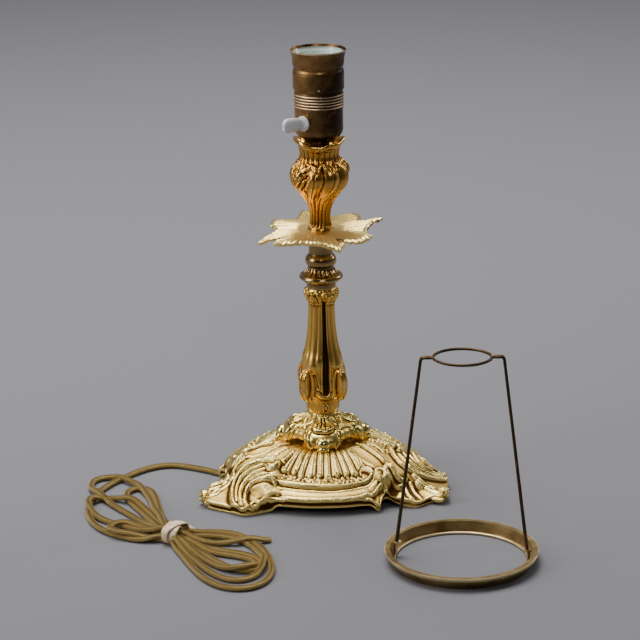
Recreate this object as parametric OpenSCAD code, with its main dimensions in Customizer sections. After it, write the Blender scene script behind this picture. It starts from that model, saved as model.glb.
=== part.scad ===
// Gilt brass table lamp on a three-footed scroll base, with a porcelain-keyed
// lampholder, a tied silk cord and a separate wire carrier for its shade.
// Millimetres. The lamp's axis is Z, the bench is Z = 0 and the front is -Y.

/* [Stem] */
// Height where the foot flange sits on the base
flange_z = 36.5; // [36:0.5:38]
// Height where the column stands on the flange
column_z = 61; // [60:0.5:62]
// Height where the collar sits on the column
collar_z = 167; // [166:0.5:169]
// Height of the drip pan's seat
pan_z = 213; // [212:0.5:214]
// Height of the vase cup's rim
vase_top_z = 291; // [290.5:0.5:291.5]
// Radius of the threaded stem tube
stem_r = 5; // [4.5:0.25:5]
// Radius of the wire way through the stem tube
stem_bore_r = 3.5; // [3:0.25:3.75]

/* [Base] */
// Radius at which the base leaves its flat crown
crown_r = 40; // [38:1:42]
// Wall thickness of the hollow base casting
base_wall = 5; // [4:0.5:6]
// Radius of a toe's rolled end
toe_r = 5.4; // [5:0.2:6]
// Distance from the axis to a toe's rolled end
toe_reach = 109; // [106:1:110]

/* [Drip pan] */
// Thickness of the leaf pan
pan_wall = 2.6; // [2:0.2:3]
// Distance from the axis to the tip of a main leaf
leaf_reach = 51.5; // [50:0.5:52]

/* [Lampholder] */
// Outer radius of the lower cap
cap_r = 19.2; // [19:0.1:19.4]
// Outer radius of the shade thread
shade_thread_r = 20; // [19.8:0.1:20.2]
// Outer radius of the flared mouth
mouth_r = 22.4; // [22:0.1:23]
// Height of the flared mouth
mouth_z = 361; // [359:0.5:362]
// Radius of the bulb thread's crests
bulb_crest_r = 12.3; // [12.2:0.05:12.4]
// Radius of the bulb thread's roots
bulb_root_r = 13.2; // [13.1:0.05:13.3]
// Bearing of the switch key, from the front towards the left
key_bearing = 38; // [30:1:50]
// Height of the switch key's axis
key_z = 305; // [304:0.5:306]
// Distance from the lamp's axis to the tip of the key
key_reach = 45; // [40:1:46]

/* [Cord] */
// Diameter of the braided cord
cord_d = 4.8; // [4.4:0.1:5]
// Height of the tied hank
hank_h = 13; // [12:0.5:14]

/* [Shade carrier] */
// Outer radius of the carrier ring's lip
ring_r = 58.5; // [57:0.5:60]
// Inner radius of the carrier ring
ring_bore_r = 49.8; // [49:0.2:50]
// Height of the carrier ring
ring_h = 10; // [9:0.5:11]
// Height of the carrier's eye
eye_z = 163; // [155:1:170]
// Half the length of the carrier's eye, inside the wires
eye_half_length = 21; // [20:0.5:22]
// Half the width of the carrier's eye, inside the wires
eye_half_width = 17; // [16:0.5:18]
// Radius of a carrier wire
wire_r = 1.1; // [1:0.05:1.2]

/* [Hidden] */

$fn = 96;
gap = 0.1;
far = 400;
gilt = "#d9a441";
pale_gilt = "#d8b565";
dark_brass = "#6e5530";
porcelain = "#f4f2ec";
steel = "#8d8a84";
silk = "#c9a248";

feet = [60, 180, 300];
holder_bore_r = cap_r - 1;
block_r = holder_bore_r - 0.2;
spindle_r = 3;
rotor_r = 5;
shade_pitch = 2.3;
bulb_pitch = 3.6;
pan_seat_r = 16.2;
relief_r = 28;
base_rows = 16;
flute_at = 11;
shell_foot_z = 322.4;
shell_floor_z = 323.2;
shell_top_z = 345;
shell_wall = 0.4;
terminal_at = 15.8;
carrier_at = [103.5, -171];
carrier_turn = 10.5;
washer_z = 12.6;
cord_r = cord_d / 2;
bend_r = 16;

// The base is one third repeated. Angles run from a panel's middle, -60 to 60.
edge_reach = [
    [-60, 111], [-57, 113], [-53, 110], [-49, 106.5], [-44, 104.5], [-40, 104], [-37, 100],
    [-34.5, 92], [-32, 86], [-28, 83.5], [-20, 82], [0, 80.5], [20, 82], [26, 84],
    [30, 89.5], [33, 84.5], [37, 81], [41, 83], [44, 90], [47, 99], [50, 102], [54, 101.5],
    [57, 105], [60, 111]
];
edge_top = [
    [-60, 9], [-56, 9], [-50, 8], [-44, 7], [-38, 8], [-35, 12], [-32, 14], [-26, 13],
    [26, 13], [30, 8], [33, 13], [37, 15], [41, 12], [44, 8], [47, 6], [53, 5.5], [60, 9]
];
edge_foot = [
    [-60, 1], [-55, 0], [-31, 0], [-27, 6], [27, 6], [30, 0], [33, 7], [40, 7],
    [44, 1], [47, 0], [55, 0], [60, 1]
];
ridge_height = [
    [12, 36.5], [40, 36.5], [55, 32], [64, 29.5], [74, 25], [84, 18], [94, 12.5],
    [104, 9], [120, 9]
];
panel_height = [
    [12, 36.5], [40, 36.5], [51, 31], [58, 26], [67, 21.5], [74, 17.5], [82, 13], [90, 10]
];
flank_height = [
    [12, 36.5], [40, 36.5], [55, 32], [64, 29.5], [71, 27], [76, 23], [80, 16.5],
    [85, 11.5], [92, 8], [100, 6], [120, 5]
];
// Ribs and mouldings of a panel: half width, height, then places as [angle, reach].
relief_ribs = [
    [4.6, 3.2, [[-40, 103], [-50, 96.5], [-57, 85], [-59.5, 75], [-55, 63.5], [-46.5, 57.5]]],
    [4.2, 2.5, [[-38, 99], [-45, 87.5], [-40, 76], [-32, 73]]],
    [3.8, 2.4, [[-33, 71], [28, 69.6], [34.5, 66], [31, 60]]],
    [4.2, 1.7, [[-28, 77.5], [28, 77.5], [40.5, 75.5], [42.5, 69.5]]],
    [3.6, 2.8, [[-33.4, 96], [-34, 88], [-28, 80]]],
    [4.2, 2.8, [[45.5, 68], [45, 76], [50.5, 84]]],
    [4.4, 2.6, [[60, 82], [60, 105]]],
    [3.4, 2, [[55, 84], [51.5, 98]]]
];
// The scooped hollow beside a foot and the smooth channel under the crown.
relief_dips = [
    [9.5, 3.2, [[-37.4, 88.4], [-37.9, 91.4]]],
    [9.5, 2.6, [[44, 36], [45.5, 46], [46, 62]]]
];

// A leaf's outline over one turn, as reach against the angle from the front.
leaf_edge = [
    [-180, 0.86], [-172, 0.85], [-164, 1], [-156, 0.84], [-146, 0.72], [-138, 0.86],
    [-126, 0.93], [-113, 0.84], [-103, 0.72], [-91, 0.72], [-84, 0.84], [-77, 1],
    [-70, 0.84], [-62, 0.72], [-53, 0.88], [-41, 0.94], [-29, 0.88], [-20, 0.72],
    [-2, 0.71], [7, 0.84], [16, 1], [25, 0.84], [32, 0.72], [39, 0.88], [49, 0.95],
    [60, 0.88], [70, 0.72], [88, 0.71], [97, 0.84], [106, 1], [115, 0.84],
    [124, 0.72], [134, 0.88], [145, 0.94], [157, 0.88], [168, 0.74], [180, 0.86]
];
// How far a leaf's tip stands above or below the pan's seat.
leaf_rise = [
    [-180, 1], [-164, 3], [-140, 0], [-100, -2], [-77, -9], [-55, -3], [-41, -2],
    [-20, -1], [16, -4], [40, 0], [49, 1], [80, 2], [106, 5], [130, 2], [180, 1]
];

// The lead on the bench, from the base's rim to where it dips into the hank.
lead_route = [
    [-84, 8, 2.6], [-90, 12, 2.6], [-97, 17, 2.6], [-108, 23, 2.6], [-119, 28, 2.6],
    [-130, 30, 2.6], [-141, 27, 2.6], [-151, 20, 2.6], [-159, 12, 2.6], [-166, 4, 2.6]
];
// The held cord, from the switch block down the stem and out under the rim.
held_route = [
    [0, 0, 299], [0, 0, 150], [0, 0, 2.6 + bend_r], [-1.2, 0.2, 12.5], [-4.7, 0.5, 7.3],
    [-9.9, 1.2, 3.8], [-16, 1.9, 2.6], [-40, 4.2, 2.6], [-62, 5.8, 2.6], [-76, 6.5, 2.6],
    [-84, 8, 2.6]
];

function front_angle(a) = a - 90;
function third(a) = let(b = (a + 60) % 120) b < 0 ? b + 60 : b - 60;
function smooth(t) = let(u = min(1, max(0, t))) u * u * (3 - 2 * u);
function panel_share(p) = 1 - smooth((abs(p) - 27) / 12);
function flank_share(p) = smooth((p - 30) / 8) * (1 - smooth((p - 52.5) / 6.5));
function crest(r, p) = let(w = panel_share(p), f = flank_share(p))
    w * lookup(r, panel_height)
    + (1 - w) * (f * lookup(r, flank_height) + (1 - f) * lookup(r, ridge_height));
// Distances on the base are taken on its surface unrolled at the reach r.
function unrolled(place, r) = [place[0] * PI / 180 * r, place[1]];
function from_line(q, a, b) = let(
    ab = b - a,
    t = min(1, max(0, (q - a) * ab / (ab * ab)))
) norm(q - a - t * ab);
function from_places(p, r, places) = min([
    for (i = [0:len(places) - 2])
        from_line(unrolled([p, r], r), unrolled(places[i], r), unrolled(places[i + 1], r))
]);
function swell(p, r, form) = let(
    d = min([for (turn = [-120, 0, 120]) from_places(p + turn, r, form[2])]) / form[0]
) d < 1 ? form[1] * pow(1 - d * d, 0.8) : 0;
function relief(p, r) = smooth((r - 29) / 4) * (
    max([for (form = relief_ribs) swell(p, r, form)])
    - max([for (form = relief_dips) swell(p, r, form)])
);
function on_ring(a, r, z) = [r * cos(front_angle(a)), r * sin(front_angle(a)), z];

// A closed band of sections around the axis; each section is a list of [r, z].
module band(sections, step) {
    count = len(sections);
    size = len(sections[0]);
    points = [for (i = [0:count - 1]) for (s = sections[i]) on_ring(i * step, s[0], s[1])];
    faces = [
        for (i = [0:count - 1]) for (k = [0:size - 1]) let(
            j = (i + 1) % count,
            n = (k + 1) % size,
            a = i * size + k,
            b = i * size + n,
            c = j * size + n,
            d = j * size + k
        ) each [[a, c, b], [a, d, c]]
    ];
    polyhedron(points, faces, convexity = 6);
}

function unit(v) = v / norm(v);
function heading(path, i) =
    unit(path[min(i + 1, len(path) - 1)] - path[max(i - 1, 0)]);

// A round tube along a path; "up" is a direction that the path never follows.
module tube(path, r, sides, up) {
    last = len(path) - 1;
    points = [
        for (i = [0:last]) let(
            t = heading(path, i),
            u = unit(cross(t, up)),
            v = cross(u, t)
        ) for (k = [0:sides - 1])
            path[i] + r * (cos(360 * k / sides) * u + sin(360 * k / sides) * v)
    ];
    faces = [
        [for (k = [0:sides - 1]) k],
        for (i = [0:last - 1]) for (k = [0:sides - 1]) let(
            n = (k + 1) % sides,
            a = i * sides + k,
            b = i * sides + n
        ) each [[a, a + sides, b + sides], [a, b + sides, b]],
        [for (k = [sides - 1:-1:0]) last * sides + k]
    ];
    polyhedron(points, faces, convexity = 4);
}

module turned(profile) {
    rotate_extrude() polygon(profile);
}

module stem_hole() {
    translate([0, 0, -1]) cylinder(r = stem_r + gap, h = far);
}

// ---- foot and stem ----

// The plain surface, drawn to the edge's own height over its last stretch.
function drawn(r, p, reach, top) = crest(r, p)
    + smooth(((r - relief_r) / (reach - 1 - relief_r) - 0.72) / 0.28) * (top - crest(reach - 1, p));

function base_section(a) = let(
    p = third(a),
    reach = lookup(p, edge_reach),
    top = lookup(p, edge_top),
    low = lookup(p, edge_foot),
    span = reach - 1 - relief_r,
    inner = reach - base_wall - 2
) [
    [14, flange_z],
    for (k = [0:base_rows - 1]) let(r = relief_r + span * k / base_rows)
        [r, drawn(r, p, reach, top) + relief(p, r)],
    [reach - 1, top],
    [reach, (top + low) / 2],
    [reach - 1, low],
    [reach - base_wall, low],
    [inner, max(low + 1, top - base_wall)],
    for (t = [0.8, 0.6, 0.4, 0.2]) let(r = crown_r + t * (inner - crown_r))
        [r, drawn(r, p, reach, top) - base_wall],
    [crown_r, flange_z - base_wall],
    [14, flange_z - base_wall]
];

module base() {
    step = 2.5;
    color(pale_gilt) {
        band([for (a = [0:step:360 - step]) base_section(a)], step);
        turned([
            [stem_r + gap, flange_z - base_wall], [20, flange_z - base_wall],
            [20, flange_z], [stem_r + gap, flange_z]
        ]);
        for (a = feet) {
            translate(on_ring(a, toe_reach, toe_r)) sphere(r = toe_r, $fn = 32);
        }
    }
}

module base_washer() {
    z = flange_z - base_wall - 2;
    color(steel) difference() {
        translate([0, 0, z]) cylinder(r = 17, h = 2);
        stem_hole();
    }
}

module base_nut() {
    z = flange_z - base_wall - 2 - 6;
    color(steel) difference() {
        translate([0, 0, z]) cylinder(r = 9.8, h = 6, $fn = 6);
        stem_hole();
    }
}

module stem_tube() {
    color(steel) difference() {
        translate([0, 0, 21]) cylinder(r = stem_r, h = 265);
        translate([0, 0, 20]) cylinder(r = stem_bore_r, h = 267);
    }
}

module cord_bush() {
    color("#2b2622") turned([
        [cord_r + 0.15, 18.8], [5.4, 18.8], [6, 19.4], [6, 21], [3.45, 21],
        [3.45, 24], [cord_r + 0.15, 24]
    ]);
}

module foot_flange() {
    color(gilt) difference() {
        union() {
            turned([
                [0, flange_z], [24, flange_z], [27, 40], [27.5, 44], [25.5, 48],
                [21, 51.5], [16.5, 54.5], [13.5, 58], [12.2, column_z], [0, column_z]
            ]);
            for (a = [0, 90, 180, 270]) {
                rotate([0, 0, a - 25]) rotate_extrude(angle = 50) polygon([
                    [14, 38.5], [24, 38], [30, 36.8], [33.5, 38.5], [35, 42],
                    [34.4, 46], [31.5, 49], [26, 51.5], [14, 54]
                ]);
                rotate([0, 0, a]) translate([33.2, 0, 41]) sphere(r = 5, $fn = 40);
            }
        }
        stem_hole();
        translate([0, 0, flange_z - 10]) cylinder(r = 60, h = 10);
        translate([0, 0, flange_z - 1]) cylinder(r = 19, h = 10);
    }
}

// One stretch of a flute, cut by a round bar from one [reach, height] to another.
module flute(from, to, r) {
    rise = to[1] - from[1];
    out = to[0] - from[0];
    translate([from[0], 0, from[1]]) rotate([0, atan2(out, rise), 0])
        cylinder(r = r, h = norm([rise, out]), $fn = 32);
}

module column() {
    color(gilt) difference() {
        union() {
            turned([
                [0, column_z], [12.1, column_z], [12.9, 66], [13.4, 70], [15, 75],
                [16.6, 84], [15.7, 97], [17.3, 104], [16.4, 109], [14.3, 115],
                [12.4, 124], [11.2, 133], [10.6, 142], [10.3, 150], [11, 157],
                [14.2, 159.5], [14.4, 163], [13.6, 166], [11.9, collar_z], [0, collar_z]
            ]);
            for (a = [45, 135, 225, 315]) {
                rotate([90, 0, a]) translate([8.8, 84.5, -3.6])
                    cylinder(r = 12.5, h = 7.2, $fn = 64);
            }
        }
        stem_hole();
        translate([0, 0, column_z + 5]) cylinder(r = 7.4, h = 94);
        for (a = [0, 90, 180, 270]) rotate([0, 0, front_angle(flute_at) + a]) {
            flute([17.1, 79], [17.4, 114], 2.8);
            flute([14, 117], [11.8, 153], 2.4);
        }
    }
}

module collar() {
    color(gilt) difference() {
        turned([
            [0, collar_z], [11.9, collar_z], [11.9, 171], [14.5, 172.5], [17, 174.5],
            [17.7, 176], [17.7, 178], [15, 179.5], [12, 180.5], [10.5, 181.5],
            [10.5, 185], [10, 186.5], [12.2, 187.5], [12.6, 189], [12.2, 190.5],
            [10, 191.5], [9.6, 196], [9.8, 200], [11, 205], [13.5, 209.5],
            [16, pan_z - 1], [16, pan_z], [0, pan_z]
        ]);
        stem_hole();
    }
}

function pan_section(a) = let(
    p = a > 180 ? a - 360 : a,
    reach = leaf_reach * lookup(p, leaf_edge),
    rise = lookup(p, leaf_rise) * pow(reach / leaf_reach, 2),
    levels = [
        for (t = [0, 0.35, 0.7, 1])
            [pan_seat_r + t * (reach - pan_seat_r), pan_z + pan_wall + rise * t * t]
    ]
) [
    [8, pan_z + pan_wall],
    each levels,
    for (i = [3:-1:0]) [levels[i][0], levels[i][1] - pan_wall],
    [8, pan_z]
];

module drip_pan() {
    step = 4;
    color(pale_gilt) difference() {
        union() {
            band([for (a = [0:step:359]) pan_section(a)], step);
            translate([0, 0, pan_z]) cylinder(r = 10, h = pan_wall);
        }
        stem_hole();
    }
}

module vase_cup() {
    seat = pan_z + pan_wall;
    color(gilt) difference() {
        turned([
            [0, seat], [10.4, seat], [9.4, 218.5], [8.1, 221], [7.8, 226], [8.6, 232],
            [11.2, 239], [15.8, 245.5], [21, 252], [23.7, 259], [22.8, 264.5],
            [18.8, 270], [15.8, 274.5], [16, 279], [18, 284.5], [20.6, 288],
            [20.6, vase_top_z - 0.6], [19.4, vase_top_z], [17.4, vase_top_z],
            [14.6, 284], [13.4, 277], [0, 277]
        ]);
        stem_hole();
        turned([[0, 240], [7, 243], [13, 249], [17.5, 256], [17, 263], [12, 268], [0, 270]]);
    }
}

// ---- lampholder ----

module along_key() {
    translate([0, 0, key_z]) rotate([90, 0, -key_bearing]) children();
}

module holder_cap() {
    color(dark_brass) difference() {
        turned([
            [stem_r + gap, 278], [8, 278], [8, 288], [12.5, vase_top_z], [16.4, vase_top_z + 1],
            [18.5, vase_top_z + 3.4], [cap_r, vase_top_z + 6.5], [cap_r, 314.6],
            [holder_bore_r, 314.6], [holder_bore_r, vase_top_z + 6.5],
            [16.6, vase_top_z + 3.6], [12, vase_top_z + 1.6], [stem_r + gap, vase_top_z + 1.6]
        ]);
        along_key() translate([0, 0, 10]) cylinder(r = spindle_r + 0.06, h = 20);
        translate([0, 0, 283]) rotate([0, 90, 0]) cylinder(r = 1.5, h = 10);
    }
}

module grub_screw() {
    color(steel) translate([stem_r + 0.05, 0, 283]) rotate([0, 90, 0]) difference() {
        cylinder(r = 1.45, h = 4.2);
        translate([-0.3, -2, 3.4]) cube([0.6, 4, 1]);
    }
}

// The shade thread is a row of rings at the thread's pitch.
module holder_thread_ring() {
    root = shade_thread_r - 0.7;
    color(dark_brass) turned([
        [holder_bore_r, 314.6],
        [root, 314.6],
        for (i = [0:4]) let(z = 316.6 + i * shade_pitch) each [
            [root, z - 0.85], [shade_thread_r, z - 0.25],
            [shade_thread_r, z + 0.25], [root, z + 0.85]
        ],
        [root, 327.4],
        [root - 0.1, 328],
        [root - 0.1, 336],
        [holder_bore_r, 336]
    ]);
}

module holder_sleeve() {
    inner = shade_thread_r - 0.6;
    color(dark_brass) difference() {
        turned([
            [inner, 329.6], [inner + 0.6, 329.8], [20.3, 331], [20.3, 342.5], [20.1, 344.6],
            [19.5, 346.2], [19.5, 347.6], [20.1, 348.6], [20.4, 351], [20.7, 354.5],
            [21.3, 357.6], [mouth_r, mouth_z - 0.5], [mouth_r, mouth_z],
            [mouth_r - 0.8, mouth_z], [20.5, 357.8], [19.8, 354.5], [19.5, 351],
            [19.2, 348.8], [18.6, 347.6], [18.6, 346.2], [19.2, 344.8], [inner, 342.5]
        ]);
        translate([-1, -25, 329]) cube([2.4, 10, 4.6]);
        translate([-2.6, -25, 329]) cube([2.4, 10, 1.9]);
    }
}

module bayonet_pin() {
    color(steel) translate([0.2, 0, 331.7]) rotate([90, 0, 0])
        translate([0, 0, shade_thread_r - 0.9]) cylinder(r = 0.9, h = 1.1, $fn = 24);
}

module switch_block() {
    color(porcelain) difference() {
        translate([0, 0, vase_top_z + 6.5]) cylinder(r = block_r, h = 314 - vase_top_z - 6.5);
        translate([0, 0, 290]) cylinder(r = stem_bore_r, h = 10);
        along_key() translate([0, 0, 4]) cylinder(r = rotor_r + 0.4, h = 20);
        for (x = [-1, 1]) {
            translate([x * 13, 0, 290]) cylinder(r = 1.3, h = 40);
        }
    }
}

module switch_rotor() {
    color("#b9a06a") along_key() difference() {
        translate([0, 0, 4.4]) cylinder(r = rotor_r, h = 10.4);
        translate([-6, -6, 6]) cube([12, 3.4, 5]);
        translate([-6, 2.6, 6]) cube([12, 3.4, 5]);
    }
}

module switch_spindle() {
    color(steel) along_key() translate([0, 0, 14.8]) cylinder(r = spindle_r, h = 6.9);
}

// The key's wing stands upright, in the plane of its own axis.
module switch_key() {
    wing_h = 11;
    wing_t = 5;
    color(porcelain) along_key() {
        difference() {
            translate([0, 0, cap_r + 0.4]) cylinder(r = 5.8, h = 2.6);
            translate([0, 0, cap_r]) cylinder(r = spindle_r, h = 2.5);
        }
        intersection() {
            translate([-wing_t / 2, -wing_h / 2, cap_r + 3]) cube([wing_t, wing_h, key_reach - cap_r - 3]);
            union() {
                translate([-10, 0, key_reach - wing_h / 2]) rotate([0, 90, 0])
                    cylinder(r = wing_h / 2, h = 20);
                translate([-10, -wing_h / 2, cap_r]) cube([20, wing_h, key_reach - cap_r - wing_h / 2]);
            }
        }
    }
}

module contact_block() {
    color(porcelain) difference() {
        translate([0, 0, 314]) cylinder(r = block_r - 0.1, h = 8.4);
        translate([0, 0, 315]) cylinder(r = 4.4, h = 10);
        for (x = [-1, 1]) {
            translate([x * 13, 0, 313]) cylinder(r = 1.3, h = 12);
            translate([x * 13, 0, 320.4]) cylinder(r = 2.6, h = 5);
        }
        for (y = [-1, 1]) {
            translate([0, y * terminal_at, 318]) cylinder(r = 1.3, h = 6);
        }
    }
}

module block_screws() {
    color("#b58f45") for (x = [-1, 1]) {
        translate([x * 13, 0, 0]) difference() {
            union() {
                translate([0, 0, 300]) cylinder(r = 1.25, h = 20.4);
                translate([0, 0, 320.4]) cylinder(r = 2.5, h = 1.8);
            }
            translate([-3, -0.3, 321.5]) cube([6, 0.6, 2]);
        }
    }
}

module terminal_screws() {
    color("#b58f45") for (y = [-1, 1]) {
        translate([0, y * terminal_at, 0]) difference() {
            union() {
                translate([0, 0, 318]) cylinder(r = 1.2, h = 5.2);
                translate([0, 0, shell_foot_z + shell_wall]) cylinder(r = 1.8, h = 1.4);
            }
            translate([-3, -0.3, 323.6]) cube([6, 0.6, 2]);
        }
    }
}

// The rolled bulb thread is a row of crests and roots at the thread's pitch.
function bulb_thread_line(out) = [
    [bulb_root_r + out, shell_floor_z],
    for (i = [0:5]) let(z = shell_floor_z + i * bulb_pitch) each [
        if (i > 0) [bulb_crest_r + out, z + 0.5],
        if (i > 0) [bulb_root_r + out, z + 1.3],
        [bulb_root_r + out, z + 2.3],
        [bulb_crest_r + out, z + 3.1]
    ],
    [bulb_crest_r + out, shell_top_z]
];
function reversed(list) = [for (i = [len(list) - 1:-1:0]) list[i]];

// Two tabs under the terminal screws hold the shell down.
module bulb_thread_shell() {
    color("#c49a4a") {
        turned([
            [5.2, shell_foot_z],
            [bulb_root_r + shell_wall, shell_foot_z],
            each bulb_thread_line(shell_wall),
            each reversed(bulb_thread_line(0)),
            [5.2, shell_floor_z]
        ]);
        for (y = [-1, 1]) difference() {
            translate([-1.8, y * 15.3 - 2.3, shell_foot_z]) cube([3.6, 4.6, shell_wall]);
            translate([0, y * terminal_at, shell_foot_z - 1]) cylinder(r = 1.3, h = 3);
        }
    }
}

module centre_contact() {
    color("#d0a95a") {
        translate([0, 0, 320.5]) cylinder(r = 4, h = 2);
        translate([0, 0, 322.5]) cylinder(r1 = 4, r2 = 2, h = 2);
        translate([0, 0, 317.8]) cylinder(r = 1.4, h = 2.7);
    }
}

module contact_spring() {
    color(steel) translate([0, 0, 315]) difference() {
        cylinder(r = 3.4, h = 5.5);
        translate([0, 0, -1]) cylinder(r = 2.2, h = 8);
    }
}

module side_contact() {
    color("#d0a95a") {
        translate([6.2, -2, shell_foot_z + 0.8]) cube([4.6, 4, 0.5]);
        translate([10.3, -2, shell_foot_z + 1.3]) cube([0.5, 4, 1.7]);
    }
}

// The liner's outside follows the sleeve and its mouth hides the bulb thread.
module insulating_ring() {
    color("#cfe3d6") turned([
        [14.2, 338], [19.1, 338], [19.1, 342.5], [18.9, 344.6], [18.3, 346],
        [18.3, 347.8], [18.9, 349], [19.2, 351], [19.5, 354.5], [20.2, 357.6],
        [20.6, 359], [19.8, 359.4], [18.4, 356.5], [17.4, 352.5], [16.6, 349],
        [15.4, 346.6], [14.2, 345.8]
    ]);
}

// ---- cord ----

module inner_cord() {
    color(silk) tube(held_route, cord_r, 12, [0.03, 1, 0.2]);
}

module cord_lead() {
    color(silk) tube(lead_route, cord_r, 12, [0, 0, 1]);
}

module cord_hank() {
    color(silk) linear_extrude(hank_h) {
        hull() {
            translate([-179, -5]) circle(r = 16, $fn = 32);
            translate([-181, -72]) circle(r = 15, $fn = 32);
            translate([-155, -118]) circle(r = 12, $fn = 32);
            translate([-119, -128]) circle(r = 13, $fn = 32);
        }
        hull() {
            translate([-117, -127]) circle(r = 13, $fn = 32);
            translate([-52, -125]) circle(r = 11, $fn = 32);
            translate([-54, -208]) circle(r = 15, $fn = 32);
            translate([-76, -216]) circle(r = 12, $fn = 32);
        }
    }
}

module cord_tie() {
    color("#efe3c4") translate([-118, -128, 0]) rotate([0, 0, 22]) difference() {
        translate([-15, -5.5, 0]) cube([30, 11, hank_h + 2]);
        translate([-14, -7, -1]) cube([28, 14, hank_h + 2]);
    }
}

// ---- shade carrier ----

function eye_curve(side) = let(
    half = eye_half_length + wire_r,
    sag = eye_half_width + wire_r,
    big = (half * half + sag * sag) / (2 * sag),
    open = asin(half / big)
) [for (k = [-6:6]) [big * sin(k * open / 6), side * (big * cos(k * open / 6) - big + sag + wire_r), eye_z]];

function foot_at(side, y) = [
    side * 49.6 * cos(carrier_turn) - y * sin(carrier_turn),
    -side * 49.6 * sin(carrier_turn) + y * cos(carrier_turn),
    washer_z
];

// Each wire runs up one leg, round one half of the eye and down the other leg.
function wire_path(side) = let(y = side * wire_r) [
    foot_at(-1, y),
    [-31, y, eye_z - 4],
    [-30, y, eye_z - 1],
    [-28, y, eye_z],
    each eye_curve(side),
    [28, y, eye_z],
    [30, y, eye_z - 1],
    [31, y, eye_z - 4],
    foot_at(1, y)
];

module at_carrier() {
    translate([carrier_at[0], carrier_at[1], 0]) children();
}

module carrier_ring() {
    color(dark_brass) at_carrier() difference() {
        turned([
            [ring_bore_r, 0.8], [ring_bore_r + 1, 0], [ring_bore_r + 3, 0], [53.6, 1.4],
            [56.6, 5], [ring_r - 0.4, ring_h - 2], [ring_r, ring_h - 1], [ring_r, ring_h],
            [54, ring_h], [53.2, 7], [52.6, 4], [52.4, 2.4], [ring_bore_r + 0.6, 2.4],
            [ring_bore_r, 2]
        ]);
        for (s = [-1, 1]) {
            rotate([0, 0, -carrier_turn]) translate([s * 51.1, 0, -1]) cylinder(r = 0.75, h = 5, $fn = 24);
        }
    }
}

module carrier_wire_front() {
    color(dark_brass) at_carrier() tube(wire_path(-1), wire_r, 10, [0.02, 1, 0.05]);
}

module carrier_wire_back() {
    color(dark_brass) at_carrier() tube(wire_path(1), wire_r, 10, [0.02, 1, 0.05]);
}

module carrier_washers() {
    color(dark_brass) at_carrier() rotate([0, 0, -carrier_turn]) for (s = [-1, 1]) {
        translate([s * 49.6, 0, washer_z - 1.4]) cylinder(r = 3.6, h = 1.4, $fn = 48);
    }
}

module carrier_rivets() {
    color(dark_brass) at_carrier() rotate([0, 0, -carrier_turn]) for (s = [-1, 1]) {
        translate([s * 51.1, 0, 0.3]) cylinder(r = 0.72, h = 2.3, $fn = 24);
        translate([s * 50.6, 0, 2.4]) cylinder(r = 1.5, h = washer_z - 3.8, $fn = 32);
    }
}

base();
base_washer();
base_nut();
stem_tube();
cord_bush();
foot_flange();
column();
collar();
drip_pan();
vase_cup();
holder_cap();
holder_thread_ring();
holder_sleeve();
bayonet_pin();
switch_block();
switch_rotor();
switch_spindle();
switch_key();
contact_block();
block_screws();
bulb_thread_shell();
centre_contact();
contact_spring();
side_contact();
terminal_screws();
insulating_ring();
grub_screw();
inner_cord();
cord_lead();
cord_hank();
cord_tie();
carrier_ring();
carrier_wire_front();
carrier_wire_back();
carrier_washers();
carrier_rivets();
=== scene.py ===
import math

import bpy
import numpy as np
from mathutils import Matrix, Vector


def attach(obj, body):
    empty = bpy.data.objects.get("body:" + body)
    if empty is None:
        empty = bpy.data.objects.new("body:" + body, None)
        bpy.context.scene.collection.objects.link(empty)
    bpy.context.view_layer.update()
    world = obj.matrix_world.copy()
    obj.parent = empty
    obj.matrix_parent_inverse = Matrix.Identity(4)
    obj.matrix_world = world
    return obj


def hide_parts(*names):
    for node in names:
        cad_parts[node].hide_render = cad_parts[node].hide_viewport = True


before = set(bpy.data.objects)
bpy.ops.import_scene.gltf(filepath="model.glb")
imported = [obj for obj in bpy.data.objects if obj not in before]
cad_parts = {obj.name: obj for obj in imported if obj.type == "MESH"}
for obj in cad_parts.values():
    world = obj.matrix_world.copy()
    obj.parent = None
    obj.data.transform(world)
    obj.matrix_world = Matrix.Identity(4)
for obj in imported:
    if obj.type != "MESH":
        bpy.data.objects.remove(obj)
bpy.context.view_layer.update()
scene = bpy.context.scene

# ---- the camera, the bench and the lamps ----
# The lamp stands on a pale grey bench and is seen from a little above. One large
# lamp hangs overhead and slightly behind, and weaker ones stand left and in front.
MM = 0.001
CAMERA_AT = (0.0, -1.8065, 0.7184)
LOOK_DOWN = math.radians(90 - 17.8)
HEAD_TILT = math.radians(-0.8)
SENSOR_MM = 36.0
FOCAL_PX = 2340.0
PICTURE_PX = 640.0
SIDE_SHIFT_PX = 1.7

camera_data = bpy.data.cameras.new("camera")
camera_data.sensor_width = SENSOR_MM
camera_data.lens = SENSOR_MM * FOCAL_PX / PICTURE_PX
camera_data.shift_x = -SIDE_SHIFT_PX / PICTURE_PX
camera = bpy.data.objects.new("camera", camera_data)
scene.collection.objects.link(camera)
camera.matrix_world = (
    Matrix.Translation(CAMERA_AT)
    @ Matrix.Rotation(LOOK_DOWN, 4, "X")
    @ Matrix.Rotation(HEAD_TILT, 4, "Z")
)
scene.camera = camera


def soft_lamp(name, place, aim, size, power, tint=(1.0, 1.0, 1.0)):
    """A square lamp with a soft edge to its shadows."""
    data = bpy.data.lights.new(name, "AREA")
    data.shape = "RECTANGLE"
    data.size, data.size_y = size
    data.energy = power
    data.color = tint
    lamp = bpy.data.objects.new(name, data)
    scene.collection.objects.link(lamp)
    lamp.location = place
    lamp.rotation_euler = (Vector(aim) - Vector(place)).to_track_quat("-Z", "Y").to_euler()
    return lamp


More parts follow.
